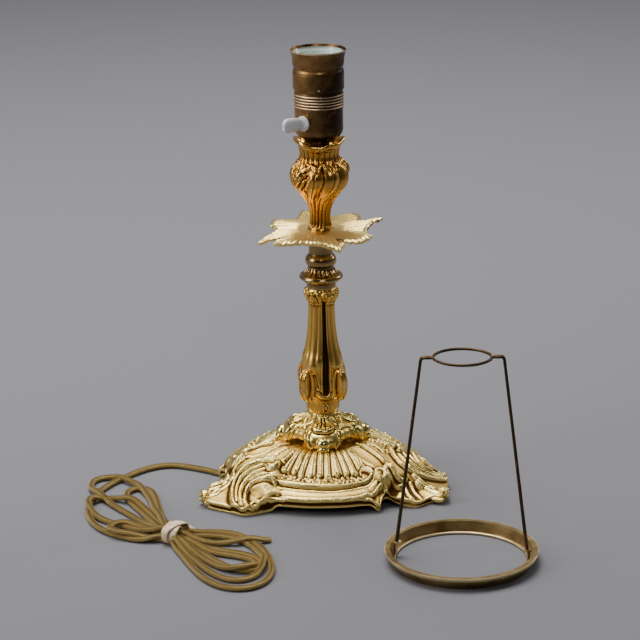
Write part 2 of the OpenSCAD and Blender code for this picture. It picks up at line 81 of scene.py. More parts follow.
soft_lamp("overhead_lamp", (-0.35, 0.45, 2.2), (0.0, -0.02, 0.1), (1.8, 1.6), 75.0)
soft_lamp("left_lamp", (-1.6, -0.5, 1.0), (0.0, 0.0, 0.2), (0.8, 1.2), 16.0)
soft_lamp("rim_lamp", (1.5, 0.9, 1.1), (0.0, 0.0, 0.2), (0.35, 0.8), 6.0)
soft_lamp("front_lamp", (0.3, -2.5, 1.9), (0.0, 0.0, 0.1), (0.9, 0.4), 9.0)

# The room beyond the lamps is dim, and darkest behind the camera.
world = bpy.data.worlds.new("room")
scene.world = world
world.use_nodes = True
room = world.node_tree
look = room.nodes.new("ShaderNodeTexCoord")
look_axes = room.nodes.new("ShaderNodeSeparateXYZ")
room.links.new(look.outputs["Generated"], look_axes.inputs["Vector"])
front_to_back = room.nodes.new("ShaderNodeMapRange")
front_to_back.inputs["From Min"].default_value = -0.9
front_to_back.inputs["From Max"].default_value = 0.9
front_to_back.inputs["To Min"].default_value = 0.025
front_to_back.inputs["To Max"].default_value = 0.26
room.links.new(look_axes.outputs["Y"], front_to_back.inputs["Value"])
room.links.new(front_to_back.outputs["Result"], room.nodes["Background"].inputs["Strength"])
room.nodes["Background"].inputs["Color"].default_value = (0.92, 0.93, 1.0, 1)


class Wire:
    """A shader socket that takes part in sums."""

    def __init__(self, finish, socket):
        self.finish, self.socket = finish, socket

    def sum(self, operation, first, second):
        return self.finish.node("ShaderNodeMath", {"operation": operation}, {0: first, 1: second})

    def __add__(self, other):
        return self.sum("ADD", self, other)

    def __radd__(self, other):
        return self.sum("ADD", other, self)

    def __sub__(self, other):
        return self.sum("SUBTRACT", self, other)

    def __rsub__(self, other):
        return self.sum("SUBTRACT", other, self)

    def __mul__(self, other):
        return self.sum("MULTIPLY", self, other)

    def __rmul__(self, other):
        return self.sum("MULTIPLY", other, self)

    def __pow__(self, other):
        return self.sum("POWER", self, other)

    def at_most(self, other):
        return self.sum("MINIMUM", self, other)


class Finish:
    """A material whose surface is one Principled shader."""

    def __init__(self, name, **constants):
        self.material = bpy.data.materials.new(name)
        self.material.use_nodes = True
        self.tree = self.material.node_tree
        self.shader = self.tree.nodes["Principled BSDF"]
        for key, value in constants.items():
            self.shader.inputs[key.replace("_", " ").title().replace("Ior", "IOR")].default_value = value

    def node(self, kind, settings=None, sockets=None, output=0):
        made = self.tree.nodes.new(kind)
        for key, value in (settings or {}).items():
            setattr(made, key, value)
        for key, value in (sockets or {}).items():
            if isinstance(value, Wire):
                self.tree.links.new(value.socket, made.inputs[key])
            else:
                made.inputs[key].default_value = value
        return Wire(self, made.outputs[output])

    def place(self):
        return self.node("ShaderNodeTexCoord", output="Object")

    def axes(self, place=None):
        """The three parts of a place, each as a wire."""
        split = self.node("ShaderNodeSeparateXYZ", {}, {"Vector": place or self.place()})
        return [Wire(self, split.socket.node.outputs[axis]) for axis in "XYZ"]

    def noise(self, scale, detail=3.0, rough=0.5):
        return self.node(
            "ShaderNodeTexNoise", {},
            {"Vector": self.place(), "Scale": scale, "Detail": detail, "Roughness": rough},
        )

    def attribute(self, name):
        return self.node("ShaderNodeAttribute", {"attribute_name": name}, output="Fac")

    def mix(self, share, first, second):
        return self.node(
            "ShaderNodeMix", {"data_type": "RGBA"}, {0: share, 6: first, 7: second}, output=2
        )

    def span(self, value, low, high, to_low=0.0, to_high=1.0):
        return self.node(
            "ShaderNodeMapRange", {},
            {"Value": value, "From Min": low, "From Max": high, "To Min": to_low, "To Max": to_high},
        )

    def bump(self, height, strength, depth, under=None):
        sockets = {"Height": height, "Strength": strength, "Distance": depth}
        if under:
            sockets["Normal"] = under
        return self.node("ShaderNodeBump", {}, sockets)

    def feed(self, **wires):
        for key, wire in wires.items():
            self.tree.links.new(wire.socket, self.shader.inputs[key.replace("_", " ").title()])


def rgba(red, green, blue):
    return (red, green, blue, 1.0)


bpy.ops.object.select_all(action="DESELECT")
bpy.ops.mesh.primitive_plane_add(size=14.0, location=(0.0, 2.0, 0.0))
bench = bpy.context.active_object
bench.name = "bench"
bench_paper = Finish("bench_paper", roughness=0.85, specular_ior_level=0.25)
bench_grain = bench_paper.noise(1900.0, 2.0)
bench_y = bench_paper.axes()[1]
# The paper's colour is painted lighter towards the back. This is painted light that makes up for the lamps'
# light falling off with distance.
BENCH_NEAR, BENCH_FAR = -2.6, 0.3
bench_near = bench_paper.mix(
    bench_paper.span(bench_grain, 0.3, 0.7), rgba(0.150, 0.148, 0.158), rgba(0.182, 0.180, 0.190)
)
bench_far = bench_paper.mix(
    bench_paper.span(bench_grain, 0.3, 0.7), rgba(0.270, 0.266, 0.290), rgba(0.320, 0.316, 0.342)
)
bench_paper.feed(
    base_color=bench_paper.mix(bench_paper.span(bench_y, BENCH_NEAR, BENCH_FAR), bench_near, bench_far),
    normal=bench_paper.bump(bench_grain, 0.25, 0.0004),
)
bench.data.materials.append(bench_paper.material)

# ---- the cord ----
# A twin lead in gold braided silk leaves under the base's rim at the left, and the
# rest of it is folded into a bow, tied at its waist. Its far end is cut off bare.
CORD_D = 4.8
CORD_STEP = 3.0
DRAWN_STEP = 1.5
LOOSEST_FOLD = 12.5
HELD_STEPS = 30
CORD_SIDES = 16
LEAD_ROUTE = [
    (-84, 8, 2.6), (-90, 12, 2.6), (-97, 17, 2.6), (-108, 23, 2.6), (-119, 28, 2.6),
    (-130, 30, 2.6), (-141, 27, 2.6), (-151, 20, 2.6), (-159, 12, 2.6), (-166, 4, 2.6),
]
HANK_ROUTE = [
    (-174, -6, 2.6), (-183, -22, 2.6), (-189, -44, 2.6), (-190, -66, 2.6), (-186, -88, 2.6),
    (-177, -107, 2.6), (-160, -122, 2.6), (-143, -130, 2.6), (-130, -130, 3.4),
    (-118, -126, 5.5), (-105, -119, 7.5),
    (-88, -111, 8), (-71, -115, 8), (-57, -130, 8), (-46, -150, 8), (-40, -174, 7),
    (-39, -198, 6), (-45, -216, 5), (-59, -226, 4), (-76, -222, 4), (-90, -206, 4),
    (-102, -178, 5), (-111, -153, 7), (-119, -130, 9),
    (-127, -104, 9), (-135, -66, 8), (-144, -32, 8), (-160, -5, 8), (-177, 9, 8.5),
    (-190, 6, 8), (-195, -8, 8), (-191, -26, 7.5), (-176, -48, 8), (-153, -80, 9),
    (-135, -104, 11), (-120, -127, 12),
    (-110, -146, 9), (-97, -172, 6), (-84, -197, 5), (-70, -211, 5), (-56, -209, 5),
    (-47, -193, 5), (-45, -170, 5), (-52, -148, 5), (-64, -130, 5), (-80, -121, 5),
    (-98, -120, 4.5), (-114, -124, 3.5),
    (-130, -113, 2.6), (-142, -102, 5), (-155, -94, 7.5), (-168, -97, 8), (-175, -109, 8),
    (-168, -121, 8), (-154, -126, 7.5), (-138, -124, 5), (-120, -129, 2.6),
    (-104, -140, 3), (-86, -149, 3), (-64, -156, 3), (-50, -164, 3), (-42, -176, 3),
    (-45, -189, 3), (-57, -195, 3), (-70, -189, 3), (-82, -175, 3), (-95, -153, 3), (-112, -133, 3),
    (-124, -112, 3), (-138, -88, 2.8), (-151, -60, 2.6), (-162, -42, 2.6), (-165, -27, 2.6),
    (-155, -15, 2.6), (-142, -19, 2.6), (-136, -38, 2.6), (-133, -72, 3), (-124, -103, 4),
    (-113, -130, 5),
    (-98, -148, 6), (-82, -158, 7), (-66, -161, 8), (-52, -168, 8), (-45, -180, 8),
    (-52, -192, 8), (-66, -194, 8), (-81, -182, 7), (-97, -157, 7), (-112, -134, 8),
    (-126, -104, 6), (-136, -78, 6), (-148, -56, 6), (-163, -43, 6), (-178, -37, 6),
    (-190, -42, 6), (-194, -56, 6), (-190, -70, 6), (-178, -87, 6), (-160, -98, 7),
    (-140, -112, 10), (-122, -125, 14),
    (-106, -131, 14), (-92, -137, 13), (-75, -138, 12), (-57, -136, 12.5), (-42, -131, 12),
]


def flowing(points, step):
    """A smooth line through the points, cut into even steps."""
    rows = np.array(points, float)
    ends = np.vstack([2 * rows[0] - rows[1], rows, 2 * rows[-1] - rows[-2]])
    fine = []
    for k in range(len(rows) - 1):
        a, b, c, d = ends[k:k + 4]
        t = np.linspace(0, 1, 24, endpoint=False)[:, None]
        fine.append(
            0.5 * (2 * b + (c - a) * t + (2 * a - 5 * b + 4 * c - d) * t**2
                   + (3 * b - a - 3 * c + d) * t**3)
        )
    fine = np.vstack([*fine, rows[-1:]])
    run = np.r_[0, np.cumsum(np.linalg.norm(np.diff(fine, axis=0), axis=1))]
    count = max(2, int(round(run[-1] / step)) + 1)
    even = np.linspace(0, run[-1], count)
    return np.column_stack([np.interp(even, run, fine[:, k]) for k in range(fine.shape[1])])


def settle(line, held, thick):
    """Lets a line sink on the bench and onto itself without passing through."""
    home = line.copy()
    place = np.arange(len(line))
    apart = np.abs(place[:, None] - place[None]) > 1.6 * thick / CORD_STEP + 1
    for turn in range(320):
        line[1:-1] += 0.22 * ((line[:-2] + line[2:]) / 2 - line[1:-1])
        line[3:-3] += 0.16 * ((line[:-6] + line[6:]) / 2 - line[3:-3])
        bent = line[:-4] - 2 * line[2:-2] + line[4:]
        kinked = np.linalg.norm(bent, axis=1) > (2 * CORD_STEP) ** 2 / LOOSEST_FOLD
        line[2:-2] += 0.4 * kinked[:, None] * ((line[:-4] + line[4:]) / 2 - line[2:-2])
        line[:, :2] += 0.06 * (home[:, :2] - line[:, :2])
        line[:, 2] -= 0.12
        away = line[:, None] - line[None]
        far = np.sqrt((away**2).sum(2)) + 1e-6
        press = np.where(apart & (far < thick), (thick - far) / far, 0.0)
        shove = (press[:, :, None] * away).sum(1)
        line += 0.30 * shove * np.array([0.55, 0.55, 1.3])
        line[:, 2] = np.maximum(line[:, 2], thick / 2 + 0.1)
        line[:held] = home[:held]
    for turn in range(90):
        for reach in (2, 3, 4):
            bent = line[:-2 * reach] + line[2 * reach:] - 2 * line[reach:-reach]
            kinked = np.linalg.norm(bent, axis=1) > (reach * CORD_STEP) ** 2 / LOOSEST_FOLD
            kinked[:held] = False
            line[reach:-reach] += 0.12 * kinked[:, None] * bent
        line[:, 2] = np.maximum(line[:, 2], thick / 2 + 0.1)
    return line


cord_line = flowing(LEAD_ROUTE + HANK_ROUTE, CORD_STEP)
cord_line = settle(cord_line, HELD_STEPS, CORD_D * 0.97)
cord_line = flowing(cord_line[::2], DRAWN_STEP)
for turn in range(10):
    cord_line[1:-1] += 0.5 * ((cord_line[:-2] + cord_line[2:]) / 2 - cord_line[1:-1])


def frames_along(line, up=(0.0, 0.0, 1.0)):
    """The heading, side and top directions at each point of a line."""
    heading = np.gradient(line, axis=0)
    heading /= np.linalg.norm(heading, axis=1)[:, None]
    side = np.cross(heading, np.array(up, float))
    side /= np.linalg.norm(side, axis=1)[:, None] + 1e-9
    return heading, side, np.cross(side, heading)


def mesh_piece(name, points, faces, smooth=True):
    """A mesh object from points in millimetres, with its faces turned outwards."""
    data = bpy.data.meshes.new(name)
    data.from_pydata((np.array(points, float) * MM).tolist(), [], [tuple(f) for f in faces])
    data.validate()
    piece = bpy.data.objects.new(name, data)
    scene.collection.objects.link(piece)
    bpy.ops.object.select_all(action="DESELECT")
    bpy.context.view_layer.objects.active = piece
    piece.select_set(True)
    bpy.ops.object.mode_set(mode="EDIT")
    bpy.ops.mesh.select_all(action="SELECT")
    bpy.ops.mesh.normals_make_consistent(inside=False)
    bpy.ops.object.mode_set(mode="OBJECT")
    if smooth:
        bpy.ops.object.shade_smooth()
    piece.select_set(False)
    return piece


def sweep(line, widths, heights, sides, up=(0.0, 0.0, 1.0), shape=None):
    """Points and faces of an oval section carried along a line, closed at its ends."""
    line = np.array(line, float)
    heading, side, top = frames_along(line, up)
    count = len(line)
    widths, heights = np.broadcast_to(widths, count), np.broadcast_to(heights, count)
    turn = np.linspace(0, 2 * math.pi, sides, endpoint=False)
    swell = shape(turn) if shape else np.ones(sides)
    points = (
        line[:, None]
        + (widths[:, None] * np.cos(turn) * swell)[:, :, None] * side[:, None]
        + (heights[:, None] * np.sin(turn) * swell)[:, :, None] * top[:, None]
    ).reshape(-1, 3)
    faces = [
        (k * sides + s, k * sides + (s + 1) % sides, (k + 1) * sides + (s + 1) % sides, (k + 1) * sides + s)
        for k in range(count - 1) for s in range(sides)
    ]
    first, last = len(points), len(points) + 1
    points = np.vstack([points, line[:1], line[-1:]])
    end = (count - 1) * sides
    faces += [(first, (s + 1) % sides, s) for s in range(sides)]
    faces += [(last, end + s, end + (s + 1) % sides) for s in range(sides)]
    return points, faces


def twin(turn):
    """The shallow groove between the lead's two cores, above and below."""
    return 1.0 - 0.15 * np.abs(np.sin(turn)) ** 8


cord_points, cord_faces = sweep(cord_line, CORD_D / 2 * 1.06, CORD_D / 2 * 0.98, CORD_SIDES, shape=twin)
cord = mesh_piece("cord", cord_points, cord_faces)
cord_uv = cord.data.uv_layers.new(name="braid")
ring_of = np.array([loop.vertex_index for loop in cord.data.loops])
along = (ring_of // CORD_SIDES) * DRAWN_STEP / CORD_D
around = (ring_of % CORD_SIDES) / CORD_SIDES
for polygon in cord.data.polygons:
    loops = list(polygon.loop_indices)
    if max(around[loops]) > 0.8:
        for k in loops:
            if around[k] < 0.2:
                around[k] += 1.0
cord_uv.data.foreach_set("uv", np.column_stack([along, around]).astype(np.float32).ravel())

silk = Finish("gold_braid", roughness=0.36, metallic=0.3)
silk_uv = silk.node("ShaderNodeUVMap", {"uv_map": "braid"})
silk_run, silk_turn = silk.axes(silk_uv)[:2]
THREADS = 10


def ripple(finish, value):
    """A wave that rises and falls with the value."""
    return finish.node("ShaderNodeMath", {"operation": "SINE"}, {0: value})


# The weave's dark colour is painted shade in the crevices between the threads. Its light colour is the
# threads' own gold.
strand_a = ripple(silk, (silk_run * 3.0 + silk_turn) * (THREADS * math.pi))
strand_b = ripple(silk, (silk_run * 3.0 - silk_turn) * (THREADS * math.pi))
weave = strand_a * strand_b
# The groove between the two cores is painted near black. This is painted shade in the crease.
groove_wave = ripple(silk, silk_turn * (2 * math.pi))
groove = (groove_wave * groove_wave) ** 7.0
silk_tint = silk.noise(60.0, 3.0)
silk_gold_and_crevice_shade = silk.mix(
    silk.span(weave, -0.9, 0.1),
    silk.mix(silk_tint, rgba(0.40, 0.14, 0.012), rgba(0.54, 0.21, 0.028)),
    silk.mix(silk_tint, rgba(1.0, 0.67, 0.17), rgba(1.0, 0.82, 0.32)),
)
silk.feed(
    base_color=silk.mix(groove * 0.75, silk_gold_and_crevice_shade, rgba(0.11, 0.04, 0.006)),
    normal=silk.bump(weave, 1.0, 0.0008),
)
cord.data.materials.append(silk.material)

# The tie is four turns of cream cotton tape, pulled tight round the bow's waist.
TIE_AT = (-118.0, -128.0)
TAPE_WIDE = 6.2
TAPE_STEPS = 72
TAPE_REACH = (4.0, 26.0)
# The tape's creased section: places across its width, and how far each stands out.
TAPE_SECTION = [
    (-0.5, 0.0), (-0.32, 0.42), (-0.12, 0.18), (0.1, 0.5), (0.32, 0.25), (0.5, 0.0), (0.5, -0.35),
    (-0.5, -0.35),
]
TAPE_TURNS = [
    # along the bow, degrees off square, and how far it stands off the bundle
    (-3.4, -13.0, 0.2), (2.6, -9.0, 0.5), (-0.6, 7.0, 0.9), (2.2, 17.0, 1.5),
]
tie_run = np.array([0.87, -0.49])
tie_across = np.array([0.49, 0.87])
from_tie = cord_line[:, :2] - TIE_AT
in_tie = (np.abs(from_tie @ tie_run) < TAPE_REACH[0]) & (np.abs(from_tie @ tie_across) < TAPE_REACH[1])
spread = from_tie[in_tie] @ tie_across
tie_middle = (spread.max() + spread.min()) / 2
tie_half = (spread.max() - spread.min()) / 2 + CORD_D / 2
tie_high = cord_line[in_tie, 2].max() + CORD_D / 2
tape_points, tape_faces = np.zeros((0, 3)), []
for slide, lean, proud in TAPE_TURNS:
    bend = np.linspace(0, 2 * math.pi, TAPE_STEPS, endpoint=False)
    half_wide, half_high = tie_half + 0.3 + proud, tie_high / 2 + 0.2 + proud * 0.5
    across = np.sign(np.cos(bend)) * np.abs(np.cos(bend)) ** 0.8 * half_wide
    height = np.sign(np.sin(bend)) * np.abs(np.sin(bend)) ** 0.8 * half_high + half_high
    turn = math.radians(lean)
    band_dir = tie_across * math.cos(turn) + tie_run * math.sin(turn)
    run_dir = tie_run * math.cos(turn) - tie_across * math.sin(turn)
    pinch = 1 - 0.35 * np.exp(-((np.sin(bend) - 0.2) / 0.5) ** 2) * (np.cos(bend) > 0)
    base_count = len(tape_points)
    rings = []
    for edge, lift in TAPE_SECTION:
        crease = lift * (1 + 0.5 * np.sin(3 * bend + 9 * edge))
        middle = slide + 0.7 * np.sin(2 * bend + lean)
        plan = (
            np.array(TIE_AT) + tie_middle * tie_across
            + (across * (1 + crease / half_wide))[:, None] * band_dir
            + (middle + edge * TAPE_WIDE * pinch)[:, None] * run_dir
        )
        rings.append(np.column_stack([plan, np.maximum(height + crease * np.sin(bend), 0.3)]))
    sides = len(rings)
    tape_points = np.vstack([tape_points, np.stack(rings, 1).reshape(-1, 3)])
    tape_faces += [
        (base_count + k * sides + s, base_count + k * sides + (s + 1) % sides,
         base_count + ((k + 1) % TAPE_STEPS) * sides + (s + 1) % sides,
         base_count + ((k + 1) % TAPE_STEPS) * sides + s)
        for k in range(TAPE_STEPS) for s in range(sides)
    ]
# The tape's end is tucked under and stands out at the far side as a short tail.
tail_foot = np.array(TIE_AT) + tie_middle * tie_across + tie_across * (tie_half - 2.0)
tail_line = flowing([
    (*tail_foot, tie_high * 0.72), (*(tail_foot + tie_across * 3.0 + tie_run * 1.5), tie_high * 0.8),
    (*(tail_foot + tie_across * 5.5 + tie_run * 5.0), tie_high * 0.62),
    (*(tail_foot + tie_across * 6.0 + tie_run * 9.0), tie_high * 0.45)], 0.8)
tail_points, tail_faces = sweep(tail_line, np.linspace(2.6, 1.5, len(tail_line)), 0.35, 10)
tape_faces += [tuple(np.array(face) + len(tape_points)) for face in tail_faces]
tape_points = np.vstack([tape_points, tail_points])
tape = mesh_piece("tie_tape", tape_points, tape_faces)
cotton = Finish("cotton_tape", roughness=0.75)
cotton_weave = cotton.noise(2200.0, 2.0)
cotton.feed(
    base_color=cotton.mix(
        cotton.span(cotton.noise(260.0, 3.0), 0.35, 0.65), rgba(0.62, 0.42, 0.22), rgba(0.86, 0.74, 0.52)),
    normal=cotton.bump(cotton_weave, 0.5, 0.0004),
)
tape.data.materials.append(cotton.material)

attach(cord, "lamp")
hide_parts("cord_lead", "cord_hank")
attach(tape, "lamp")
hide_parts("cord_tie")
(cord_line * MM).tolist()

# ---- the base ----
# A hollow gilt brass casting on three scroll feet, chased by hand after casting. One
# panel is repeated three times around the axis, and its hollows keep a brown lacquer and painted shade.
CROWN_Z = 36.5
CROWN_R = 40.0
BORE_R = 15.0
BASE_WALL = 5.0
PANEL = 120.0
COLUMNS_PER_PANEL = 204
EDGE_REACH = [
    (-60, 111), (-57, 113), (-53, 110), (-49, 106.5), (-44, 104.5), (-40, 104), (-37, 100),
    (-34.5, 92), (-32, 86), (-28, 83.5), (-20, 82), (0, 80.5), (20, 82), (26, 84), (30, 89.5),
    (33, 84.5), (37, 81), (41, 83), (44, 90), (47, 99), (50, 102), (54, 101.5), (57, 105), (60, 111),
]
EDGE_TOP = [
    (-60, 8.5), (-56, 8), (-50, 7.5), (-44, 7), (-38, 8), (-35, 12), (-32, 14), (-26, 13),
    (26, 13), (30, 7), (33, 13.5), (37, 15), (41, 12), (44, 8), (47, 6), (53, 5.5), (60, 8.5),
]
EDGE_FOOT = [
    (-60, 1), (-55, 0), (-31, 0), (-27, 6), (27, 6), (30, 0), (33, 7), (40, 7), (44, 1), (47, 0),
    (55, 0), (60, 1),
]
RIDGE_HEIGHT = [
    (12, 36.5), (40, 36.5), (55, 32), (64, 29.5), (74, 25), (84, 18), (94, 12.5),
    (104, 9), (120, 8.5),
]
PANEL_HEIGHT = [
    (12, 36.5), (40, 36.5), (51, 31), (58, 26), (67, 21.5), (74, 17.5), (82, 13), (90, 10),
]
FLANK_HEIGHT = [
    (12, 36.5), (40, 36.5), (55, 32), (64, 29.5), (71, 27), (76, 23), (80, 16.5),
    (85, 11.5), (92, 8), (100, 6), (120, 5),
]


def read_table(table, at, soft=0.0):
    """Reads a table of pairs at the given places, with its corners softened."""
    xs, ys = zip(*table)
    total = np.zeros(np.shape(at))
    for shift, share in ((-1.0, 0.22), (-0.5, 0.17), (0.0, 0.22), (0.5, 0.17), (1.0, 0.22)):
        total += share * np.interp(np.asarray(at) + shift * soft, xs, ys)
    return total


def ramp(value, low, high):
    """A smooth step from 0 at low to 1 at high."""
    t = np.clip((value - low) / (high - low), 0, 1)
    return t * t * (3 - 2 * t)


def raised(spots, lines, width, height, tapers=(0.15, 0.15)):
    """How high a rounded rib along the lines lifts each spot of a chart."""
    lift = np.zeros(len(spots))
    for line in lines:
        low, high = line.min(0) - width, line.max(0) + width
        near = np.flatnonzero(((spots > low) & (spots < high)).all(1))
        share = np.linspace(0, 1, len(line))
        size = np.minimum(1, np.minimum(
            0.25 + share / max(tapers[0], 1e-6), 0.25 + (1 - share) / max(tapers[1], 1e-6)))
        for part in np.array_split(near, max(1, len(near) // 4000)):
            if len(part):
                far = np.hypot(*(spots[part, None] - line[None]).transpose(2, 0, 1))
                round_top = np.clip(1 - (far / (width * size)) ** 2, 0, 1) ** 0.8
                lift[part] = np.maximum(lift[part], (round_top * height * size).max(1))
    return lift


def heaped(spots, trails, copies, tapers):
    """The highest of a list of (width, height, places) ribs at each spot."""
    lift = np.zeros(len(spots))
    for width, height, places in trails:
        lift = np.maximum(lift, raised(spots, copies(places), width, height, tapers))
    return lift


def panel_lines(places):
    """A trail of (angle, reach) places on one panel, with its copies on the next ones."""
    lines = []
    for turn in (-PANEL, 0, PANEL):
        plan = [
            (r * math.sin(math.radians(p + turn)), r * math.cos(math.radians(p + turn)), 0)
            for p, r in places
        ]
        lines.append(flowing(plan, 0.7)[:, :2])
    return lines


# Ribs and mouldings of a panel: width and height in mm, then (angle, reach) places.
SCROLLS = [
    (2.7, 3.4, [(-40, 105), (-44.3, 103.3), (-49.9, 96.5), (-56, 87), (-59.5, 78),
                (-59.9, 72.9), (-57, 66), (-53.9, 61.9), (-46.7, 57.4)]),
    (3.2, 4.0, [(-53.9, 61.9), (-46.7, 57.0), (-41, 57.5), (-38.6, 61.5), (-41.2, 65.3),
                (-46, 63.8)]),
    (1.9, 2.4, [(-44, 101), (-46, 99), (-52, 90), (-55.7, 82), (-54.7, 75), (-51.4, 68),
                (-48.7, 63)]),
    (1.8, 2.2, [(-40.5, 100), (-42.7, 99), (-48, 90.8), (-50.6, 83.7), (-50.4, 76.5),
                (-46.7, 70), (-43, 66)]),
    (2.3, 3.0, [(-36.8, 99.9), (-42.4, 94.3), (-45.4, 86.7), (-44.2, 80.2), (-39.5, 75.6),
                (-34, 72.5), (-31.2, 74.5)]),
    (1.9, 3.2, [(-33.2, 97), (-34.1, 89.3), (-32.6, 84.7), (-29.6, 80.2), (-26.6, 79.7)]),
    (2.1, 2.6, [(-33.5, 71.0), (-25, 68.8), (-12, 69), (4, 69.5), (14, 70), (23, 69.8),
                (30, 69.4), (33.9, 68.6), (34.9, 65), (33.4, 60.8), (30.2, 59.2), (28.6, 61.6)]),
    (1.0, 1.1, [(-30.6, 74), (-15, 73), (5, 73.3), (16.5, 73), (26, 73), (33, 72.4),
                (37.2, 68.6)]),
    (3.2, 1.5, [(-28, 77), (-15, 76.6), (0, 76.6), (15, 76.8), (27, 76.6), (36, 74.6)]),
    (1.8, 1.9, [(-26, 81), (-15, 80), (0, 79.3), (12, 79.8), (20, 80.4), (28, 79.8),
                (35, 78.5), (40, 76.4), (43, 73), (42.6, 69.4), (39.5, 67.2), (37.3, 68.9)]),
    (2.6, 3.0, [(37.5, 82), (40, 77), (43.5, 74), (46, 75)]),
    (2.2, 3.2, [(46, 68), (44.4, 76), (46.4, 82), (51, 84.5)]),
    (2.0, 2.8, [(51.5, 68), (49.6, 75), (51.6, 80), (55.2, 81.6)]),
    (1.5, 1.9, [(58.5, 29), (56.4, 43), (54.4, 56), (50.8, 65), (48.5, 72)]),
    (1.4, 1.7, [(31.5, 40.6), (35.5, 50.6), (38, 61.8), (40, 66.7)]),
    (3.0, 2.8, [(60, 84), (60, 94), (60, 104)]),
    (1.3, 2.2, [(55.4, 84), (52.6, 93), (51.2, 101)]),
    (1.5, 2.2, [(51.8, 82.5), (48.6, 90), (47.4, 97)]),
    (2.0, 2.2, [(31.5, 88), (34.5, 84.6), (39, 85.6), (43, 91), (46.4, 98)]),
    (3.0, 3.0, [(37, 74.5), (40.5, 77.4), (44.5, 75.6)]),
    (1.6, 2.0, [(33, 57), (36, 48), (37.5, 41)]),
    (1.5, 1.8, [(-36, 44), (-38, 52), (-42, 58), (-38, 62)]),
    (1.4, 1.6, [(-58, 56), (-54, 50), (-51, 42)]),
    (3.6, 2.6, [(57.4, 90.6), (58.6, 92.2)]),
]
# Grooves and dishes of a panel, in the same terms.
HOLLOWS = [
    (1.4, 2.2, [(-42.4, 102), (-47.6, 97.5), (-53.9, 88.5), (-57.7, 80), (-57.2, 73.6),
                (-54, 67), (-50.4, 62.6), (-46, 60)]),
    (1.2, 1.7, [(-44.6, 98.6), (-50, 90.4), (-53.2, 83), (-52.4, 75.8), (-49, 69)]),
    (1.7, 2.2, [(-39.6, 98.4), (-45.2, 91.5), (-48, 84.6), (-47, 78), (-43, 72), (-38, 69)]),
    (1.2, 1.4, [(-30.4, 71.8), (-15, 71.2), (0, 71.4), (15, 71.6), (27, 71.4), (34.6, 70.6)]),
    (9.5, 3.0, [(44, 36), (45, 45), (46.4, 56), (45.6, 63)]),
    (6.0, 2.2, [(30, 88), (38, 84), (46, 78), (48, 70)]),
    (2.2, 1.8, [(-60, 88), (-60, 99)]),
]
SCOOP_AT, SCOOP_R, SCOOP_DEEP = (-37.4, 88.4), 9.5, 4.2
ROSETTE_AT, ROSETTE_R = (-36.8, 92.6), 3.3
FLUTE_TURN = 7.1
FLUTE_FROM, FLUTE_TO = 31.0, 61.0
FLUTE_SPAN = 35.0

panel_at = (np.arange(COLUMNS_PER_PANEL) / COLUMNS_PER_PANEL - 0.5) * PANEL
edge_r = read_table(EDGE_REACH, panel_at, 1.5)
edge_z = read_table(EDGE_TOP, panel_at, 1.5)
foot_z = np.maximum(0.0, read_table(EDGE_FOOT, panel_at, 1.2))
panel_share = 1 - ramp(np.abs(panel_at), 27, 39)
flank_share = ramp(panel_at, 30, 38) * (1 - ramp(panel_at, 52.5, 59))


def ground(reach, columns):
    """The height of the base's plain surface, before its ribs and flutes."""
    share, flank = panel_share[columns], flank_share[columns]
    return (
        share * read_table(PANEL_HEIGHT, reach, 2.5)
        + (1 - share) * flank * read_table(FLANK_HEIGHT, reach, 1.5)
        + (1 - share) * (1 - flank) * read_table(RIDGE_HEIGHT, reach, 2.5)
    )


def drawn(reach, columns):
    """The plain surface, drawn to the edge's own height over its last stretch."""
    edge = edge_r[columns] - 0.9
    gap = edge_z[columns] - ground(edge, columns)
    return ground(reach, columns) + ramp((reach - 27.0) / (edge - 27.0), 0.72, 1.0) * gap


RELIEF_ROWS = 120
row_share = np.linspace(0, 1, RELIEF_ROWS)
relief_r = 27.0 + row_share[None] * (edge_r[:, None] - 0.9 - 27.0)
relief_p = np.repeat(panel_at[:, None], RELIEF_ROWS, 1)
spots = np.column_stack([
    (relief_r * np.sin(np.radians(relief_p))).ravel(),
    (relief_r * np.cos(np.radians(relief_p))).ravel(),
])
ribs = heaped(spots, SCROLLS, panel_lines, (0.08, 0.1))
dips = heaped(spots, HOLLOWS, panel_lines, (0.3, 0.3))
scoop_line = panel_lines([SCOOP_AT, (SCOOP_AT[0] - 0.5, SCOOP_AT[1] + 3.0)])
dips = np.maximum(dips, raised(spots, scoop_line, SCOOP_R, SCOOP_DEEP, (0, 0)))

# The palmette is a fan of narrow leaves with a vein each, whose tips curl up unevenly.
flute_r, flute_p = relief_r.ravel(), relief_p.ravel()
lean_p = flute_p + 1.1 * np.sin(flute_p * 0.31) * ramp(flute_r, 36, 58)
leaf_no = np.floor(lean_p / FLUTE_TURN)
flute_tip = FLUTE_TO + 1.7 * np.cos(leaf_no * 2.3) - 0.05 * np.abs(flute_p)
fan = (1 - ramp(np.abs(flute_p), FLUTE_SPAN - 3, FLUTE_SPAN)) * ramp(flute_r, FLUTE_FROM - 3, FLUTE_FROM + 6)
fan *= 1 - ramp(flute_r, flute_tip - 1.0, flute_tip + 0.4)
across_leaf = np.abs(np.sin(np.radians(lean_p * 180 / FLUTE_TURN)))
leaf_side = np.abs(np.abs(np.cos(np.radians(lean_p * 180 / FLUTE_TURN))) - 0.55)
palmette = fan * (2.7 * across_leaf**0.6 - 0.8 * (1 - ramp(leaf_side, 0.0, 0.16)) - 0.5)
tips = np.zeros(len(spots))
for k in range(-5, 5):
    p = (k + 0.5) * FLUTE_TURN
    r = FLUTE_TO + 1.7 * math.cos(k * 2.3) - 0.05 * abs(p)
    bent = 0.8 * math.cos(k * 1.7)
    tips = np.maximum(tips, raised(
        spots, panel_lines([(p - 1.5, r - 0.8), (p + bent, r + 0.9), (p + 1.7, r - 0.6)]), 1.2, 2.3, (0, 0)))
rng = np.random.default_rng(7)
grains = np.zeros(len(spots))
